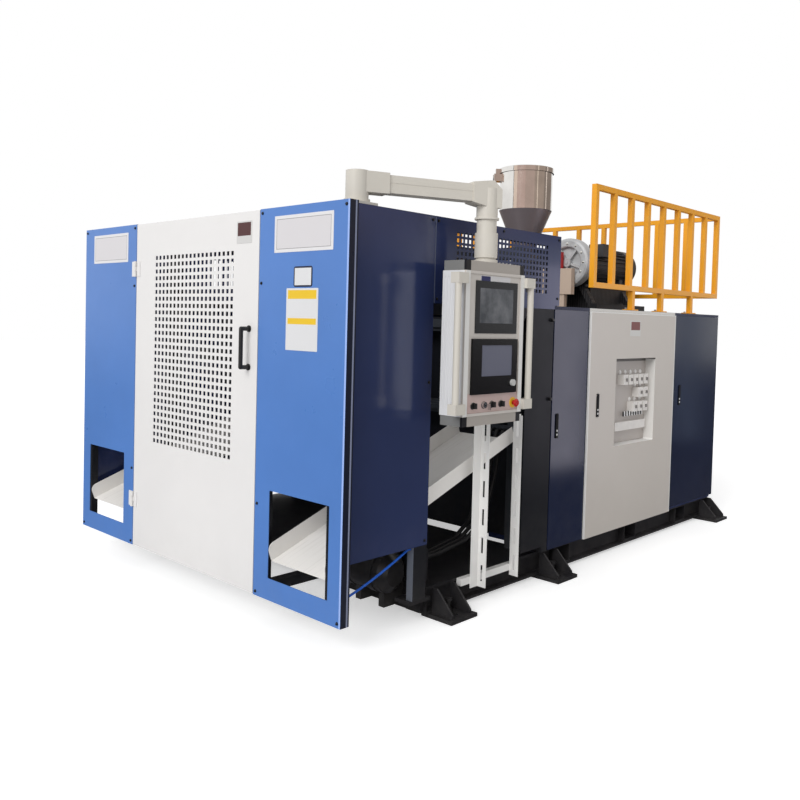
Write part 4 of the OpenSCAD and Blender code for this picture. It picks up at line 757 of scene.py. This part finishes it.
for lock in ("lock_front", "lock_main", "lock_rear"):
    lowest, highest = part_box(lock)
    middle_y = (lowest[1] + highest[1]) / 2
    fasteners(lock + "_cams", [(highest[0] - 0.0015, middle_y, lowest[2] + rise) for rise in (0.022, 0.046)],
              facing_right, lock_cam, lock, 0.0065, 0.001, 0.0078, 16)
fasteners("front_hinge_caps", [(1.2, -0.735, z) for z in (1.107, 1.589)], facing_right, black_steel,
          "machine", 0.011, 0.012, 0.013, 12)
shell_low, shell_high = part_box("cabinet_shell")
facing_rear = (-math.pi / 2, 0.0, 0.0)
screw_rows = (0.24, 0.92, 1.60)
fasteners("shell_left_screws", [(shell_low[0], y, z) for y in (-0.62, 0.10, 0.83, 1.66) for z in screw_rows],
          facing_left, black_steel, "machine")
fasteners("shell_rear_screws", [(x, shell_high[1], z) for x in (-1.1, -0.4, 0.4, 1.1) for z in screw_rows],
          facing_rear, black_steel, "machine")
louvres, given, result = nodes_tree(
    "louvres", [("Length", "NodeSocketFloat"), ("Radius", "NodeSocketFloat"), ("Turn", "NodeSocketVector"),
                ("Finish", "NodeSocketMaterial")])
hood = louvres.nodes.new("GeometryNodeMeshCylinder")
hood.inputs["Vertices"].default_value = 24
louvres.links.new(given.outputs["Radius"], hood.inputs["Radius"])
louvres.links.new(given.outputs["Length"], hood.inputs["Depth"])
cap = louvres.nodes.new("GeometryNodeMeshUVSphere")
cap.inputs["Segments"].default_value = 24
cap.inputs["Rings"].default_value = 12
louvres.links.new(given.outputs["Radius"], cap.inputs["Radius"])
pressing = louvres.nodes.new("GeometryNodeJoinGeometry")
louvres.links.new(hood.outputs["Mesh"], pressing.inputs["Geometry"])
for share in (-0.5, 0.5):
    rise = arithmetic(louvres, "MULTIPLY", given.outputs["Length"], share)
    louvres.links.new(lifted(louvres, cap.outputs["Mesh"], rise), pressing.inputs["Geometry"])
turn = louvres.nodes.new("FunctionNodeEulerToRotation")
louvres.links.new(given.outputs["Turn"], turn.inputs["Euler"])
rows = louvres.nodes.new("GeometryNodeInstanceOnPoints")
louvres.links.new(given.outputs["Geometry"], rows.inputs["Points"])
louvres.links.new(pressing.outputs["Geometry"], rows.inputs["Instance"])
louvres.links.new(turn.outputs["Rotation"], rows.inputs["Rotation"])
finish_tree(louvres, rows.outputs["Instances"], given, result)
louvre_rows = [1.18 + 0.036 * k for k in range(9)]
louvre_size = {"Length": 0.17, "Radius": 0.009, "Finish": navy_enamel}
left_places = [(shell_low[0], y, z) for y in (0.30, 0.52, 1.20, 1.42) for z in louvre_rows]
rear_places = [(x, shell_high[1], z) for x in (-0.75, -0.53, 0.53, 0.75) for z in louvre_rows]
grown("left_louvres", left_places, louvres, {**louvre_size, "Turn": facing_front}, "machine")
grown("rear_louvres", rear_places, louvres, {**louvre_size, "Turn": facing_right}, "machine")
zinc_plate = bare_metal("zinc_plate", (0.62, 0.63, 0.64), 0.45, (30.0, 30.0, 4.0), 0.05)
paint_nodes(zinc_plate, "mounting_plate")
cabinet_blank = enamel("cabinet_blank", (0.66, 0.65, 0.63), 0.4, 0.02,
                       overlay=fields(((1, 0.242, 1.538), (2, 0.370, 1.596), (0.20, 0.055, 0.05))))
flat_plate("cabinet_plate", (0.232, 0.380), (1.496, 1.603), 1.213, "side", 0.0015, 0.004, cabinet_blank,
           "cabinet_door_main")


# Breakers behind the white door's window: white moulded cases with grey toggles on a dull back plate,
# with a band of painted shade across the plate's top, a white tag above each, and a row of short wires
# along the terminal strip.
breaker_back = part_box("breaker_panel")[0][0]


def breaker_fields_and_shade(tree, where, paint):
    tips, plate = breaker_back + 0.0565, breaker_back + 0.0045
    paint = repaint(tree, where, paint, (1.0, 0.0, 0.7), (plate, 0.7, 1.4), (0.50, 0.46, 0.43))
    # Painted shade: a dark band across the top of the back plate.
    paint = repaint(tree, where, paint, (1.0, 0.0, 1.316), (plate, 0.7, 1.4), (0.13, 0.12, 0.11))
    return repaint(tree, where, paint, (tips, 0.0, 0.7), (1.3, 0.7, 1.4), (0.20, 0.19, 0.18))


breaker_plastic = moulded("breaker_plastic", (0.80, 0.77, 0.74), 0.45, overlay=breaker_fields_and_shade)
paint_nodes(breaker_plastic, "breaker_panel")
tag_white = moulded("tag_white", (0.92, 0.91, 0.90), 0.4)
first_breaker, breaker_pitch, tag_rise = 0.542, 0.074, 0.085
tag_points = []
for count, base in ((5, 1.155), (2, 1.060), (3, 0.960)):
    tag_points += [(breaker_back + 0.004, first_breaker - k * breaker_pitch, base + tag_rise)
                   for k in range(count)]
fasteners("breaker_tags", tag_points, facing_right, tag_white, "cabinet_door_main",
          0.013, 0.004, 0.016, 8)
wire_tree, given, result = nodes_tree(
    "wire_row", [("Radius", "NodeSocketFloat"), ("Length", "NodeSocketFloat"),
                 ("Finish", "NodeSocketMaterial")])
wire = wire_tree.nodes.new("GeometryNodeMeshCone")
wire.inputs["Vertices"].default_value = 10
wire_tree.links.new(given.outputs["Radius"], wire.inputs["Radius Bottom"])
tip = arithmetic(wire_tree, "MULTIPLY", given.outputs["Radius"], 0.8)
wire_tree.links.new(tip, wire.inputs["Radius Top"])
wire_tree.links.new(given.outputs["Length"], wire.inputs["Depth"])
row = wire_tree.nodes.new("GeometryNodeInstanceOnPoints")
wire_tree.links.new(given.outputs["Geometry"], row.inputs["Points"])
wire_tree.links.new(wire.outputs["Mesh"], row.inputs["Instance"])
finish_tree(wire_tree, row.outputs["Instances"], given, result)
wire_pitch, wire_foot = 0.036, 0.930
for name, finish, first_wire in (("black_wires", black_plastic, 0.272), ("white_wires", tag_white, 0.290)):
    wire_points = [(breaker_back + 0.027, first_wire + k * wire_pitch, wire_foot) for k in range(8)]
    grown(name, wire_points, wire_tree, {"Radius": 0.006, "Length": 0.034, "Finish": finish},
          "cabinet_door_main")


# Blower: light grey cast housing with a bolted cover, dark finned motor behind it, beige starter box
# with a red block.
def cast(name, colour, roughness, metallic=0.0):
    """Sand-cast metal with a pebbled skin under thin paint."""
    material, tree, shader = node_material(name)
    where = object_place(tree)
    pebbles = noise(tree, where, 230.0, 3.0, 0.65)
    shading = spread(tree, noise(tree, where, 12.0, 4.0), 0.3, 0.7, 0.0, 1.0)
    tree.links.new(colour_mix(tree, shading, tuple(c * 0.84 for c in colour),
                              tuple(min(1.0, c * 1.12) for c in colour)), shader.inputs["Base Color"])
    tree.links.new(spread(tree, pebbles, 0.3, 0.7, roughness - 0.08, roughness + 0.1),
                   shader.inputs["Roughness"])
    bump_normal(tree, shader, pebbles, 0.2, 0.0008)
    shader.inputs["Metallic"].default_value = metallic
    shader.inputs["Specular IOR Level"].default_value = 0.4
    return material


paint_nodes(cast("housing_casting", (0.47, 0.48, 0.49), 0.5, 0.15), "blower_housing")
paint_nodes(cast("motor_casting", (0.042, 0.043, 0.048), 0.5), "blower_motor")
red_block = fields(((0.3, 0.4, 2.0005), (0.6, 0.6, 2.2), (0.50, 0.012, 0.016)))
paint_nodes(enamel("starter_paint", (0.56, 0.44, 0.35), 0.45, 0.05, overlay=red_block), "starter_box")
cover_middle, bolt_circle = Vector((0.475, 0.560, 2.050)), 0.146
bolt_angles = [math.radians(degrees) for degrees in range(0, 360, 30)]
cover_bolts = [(cover_middle.x + bolt_circle * math.cos(angle), cover_middle.y,
                cover_middle.z + bolt_circle * math.sin(angle)) for angle in bolt_angles]
fasteners("blower_bolts", cover_bolts, facing_front, zinc_bolt, "machine",
          0.008, 0.006, 0.011, 6)


# Air receiver, hoses and air tube below the guard: a painted steel vessel on brackets, black rubber hoses
# and one blue plastic tube, each pushed into fittings at its ends.
paint_nodes(enamel("receiver_enamel", (0.010, 0.010, 0.012), 0.3, 0.1, dust=0.2, reach=0.4), "air_receiver")
paint_nodes(moulded("hose_rubber", (0.010, 0.010, 0.011), 0.5, 900.0, 0.2, 0.3), "hydraulic_hoses")
paint_nodes(moulded("blue_tube", (0.015, 0.12, 0.62), 0.25, 300.0, 0.05, 0.5), "air_tube")


# Swing arm and pendant: cast and extruded aluminium under warm grey-white enamel. The box is closed by
# a cap at each end, with black corner pieces, grey sides and a beige front; the box's own ends are
# painted pale grey-white, paler than the front, as painted light.
arm_enamel = enamel("arm_enamel", arm_colour, 0.4, 0.03)
paint_nodes(arm_enamel, "arm_castings", "arm_beam", "pendant_neck", "pendant_handles")
neck_y = -1.62943
face_x = 1.44862
box_top, box_bottom = 1.817, 1.095
cap_black = (0.012, 0.012, 0.014)
cap_grey = (0.22, 0.22, 0.215)
cap_front = (0.42, 0.385, 0.35)


def both_ends(inner, outer):
    """The two stretches that lie between these distances to either side of the neck."""
    return (neck_y - outer, neck_y - inner), (neck_y + inner, neck_y + outer)


def box_caps_and_painted_light(tree, where, paint):
    corner_x = face_x - 0.018
    for low_z, high_z in ((box_top + 0.0005, box_top + 0.06), (box_bottom - 0.06, box_bottom - 0.0005)):
        for low_y, high_y in both_ends(0.205, 0.3):
            paint = repaint(tree, where, paint, (1.0, low_y, low_z), (corner_x, high_y, high_z), cap_grey)
            paint = repaint(tree, where, paint, (corner_x, low_y, low_z), (2.0, high_y, high_z), cap_black)
        paint = repaint(tree, where, paint, (1.0, neck_y - 0.205, low_z), (2.0, neck_y + 0.205, high_z),
                        cap_front)
    # The box's ends are painted paler than its front, as painted light.
    for low_y, high_y in both_ends(0.2405, 0.3):
        paint = repaint(tree, where, paint, (1.0, low_y, box_bottom), (face_x - 0.012, high_y, box_top),
                        (0.78, 0.78, 0.79))
    for low_y, high_y in both_ends(0.212, 0.248):
        paint = repaint(tree, where, paint, (face_x - 0.001, low_y, box_bottom), (2.0, high_y, box_top),
                        (0.78, 0.77, 0.75))
    return repaint(tree, where, paint, (face_x - 0.0065, neck_y - 0.215, box_bottom),
                   (face_x - 0.005, neck_y + 0.215, 1.207), (0.60, 0.45, 0.42))


paint_nodes(enamel("box_enamel", (0.62, 0.58, 0.54), 0.4, 0.03, overlay=box_caps_and_painted_light), "pendant_box")


# Monitor and touch panel: dark glass in black moulded bezels, a grey display field and a silver knob.
# Both are clipped into the pendant's front, under a blank name plate.
def dull_display(tree, where, paint):
    haze = spread(tree, noise(tree, where, 9.0, 4.0, 0.6), 0.35, 0.7, 0.0, 1.0)
    glow = colour_mix(tree, haze, (0.045, 0.050, 0.060), (0.16, 0.165, 0.18))
    mask = place_group(tree, box_mask, Vector=where, Low=(1.0, neck_y - 0.128, 1.560),
                       High=(2.0, neck_y + 0.150, 1.735)).outputs["Mask"]
    return colour_mix(tree, mask, paint, glow)


def panel_fields(tree, where, paint):
    paint = repaint(tree, where, paint, (1.0, neck_y - 0.112, 1.292), (face_x + 0.004, neck_y + 0.146, 1.450),
                    (0.145, 0.15, 0.20))
    return repaint(tree, where, paint, (face_x + 0.0065, neck_y + 0.12, 1.22), (2.0, neck_y + 0.18, 1.29),
                   (0.55, 0.55, 0.54))


paint_nodes(moulded("monitor_glass", (0.010, 0.010, 0.012), 0.16, 200.0, 0.01, 0.25, dull_display), "monitor")
paint_nodes(moulded("touch_panel_black", (0.008, 0.007, 0.008), 0.22, 500.0, 0.03, 0.2, panel_fields),
            "touch_panel")
blue_field = fields(((1, neck_y - 0.120, 1.771), (2, neck_y - 0.045, 1.795), (0.02, 0.025, 0.12)))
face_blank = enamel("face_blank", (0.66, 0.65, 0.66), 0.4, 0.02, overlay=blue_field)
flat_plate("face_plate", (neck_y - 0.125, neck_y + 0.125), (1.768, 1.798), face_x - 0.006, "side",
           0.0012, 0.003, face_blank, "pendant")


# Switches: black moulded selectors with chromed collars, and a red mushroom button over a yellow ring,
# all screwed into the strip below the touch panel.
paint_nodes(black_plastic, "selector_left", "selector_mid", "selector_right")
red_plastic = moulded("red_plastic", (0.50, 0.010, 0.012), 0.25, 300.0, 0.04, 0.5)
paint_nodes(red_plastic, "emergency_stop")


def turned_ring(name, centre, profile, material, body, steps=40):
    """A ring turned round an axis along X through centre, from a closed profile of (radius, x) points."""
    mesh = bmesh.new()
    rings = []
    for i in range(steps):
        angle = 2 * math.pi * i / steps
        side, rise = math.cos(angle), math.sin(angle)
        rings.append([mesh.verts.new((centre[0] + x, centre[1] + r * side, centre[2] + r * rise))
                      for r, x in profile])
    for i in range(steps):
        here, there = rings[i], rings[(i + 1) % steps]
        for k in range(len(profile)):
            after = (k + 1) % len(profile)
            mesh.faces.new((here[k], here[after], there[after], there[k]))
    bmesh.ops.recalc_face_normals(mesh, faces=mesh.faces)
    data = bpy.data.meshes.new(name)
    mesh.to_mesh(data)
    mesh.free()
    data.materials.append(material)
    return piece_from(name, data, body)


def ring_profile(outer, lip):
    bore = 0.0105
    return [(bore, 0.0), (outer, 0.0), (outer, 0.0025), (lip, 0.0038), (bore, 0.0038)]


strip_face, switch_height = face_x - 0.006, 1.147
for name, offset in (("left", -0.162), ("key", -0.073), ("mid", -0.008), ("right", 0.068)):
    turned_ring("collar_" + name, (strip_face, neck_y + offset, switch_height), ring_profile(0.019, 0.0165),
                hard_chrome, "pendant")
yellow_plastic = moulded("yellow_plastic", (0.85, 0.52, 0.02), 0.35)
turned_ring("stop_ring", (strip_face, neck_y + 0.176, switch_height), ring_profile(0.028, 0.026),
            yellow_plastic, "pendant")
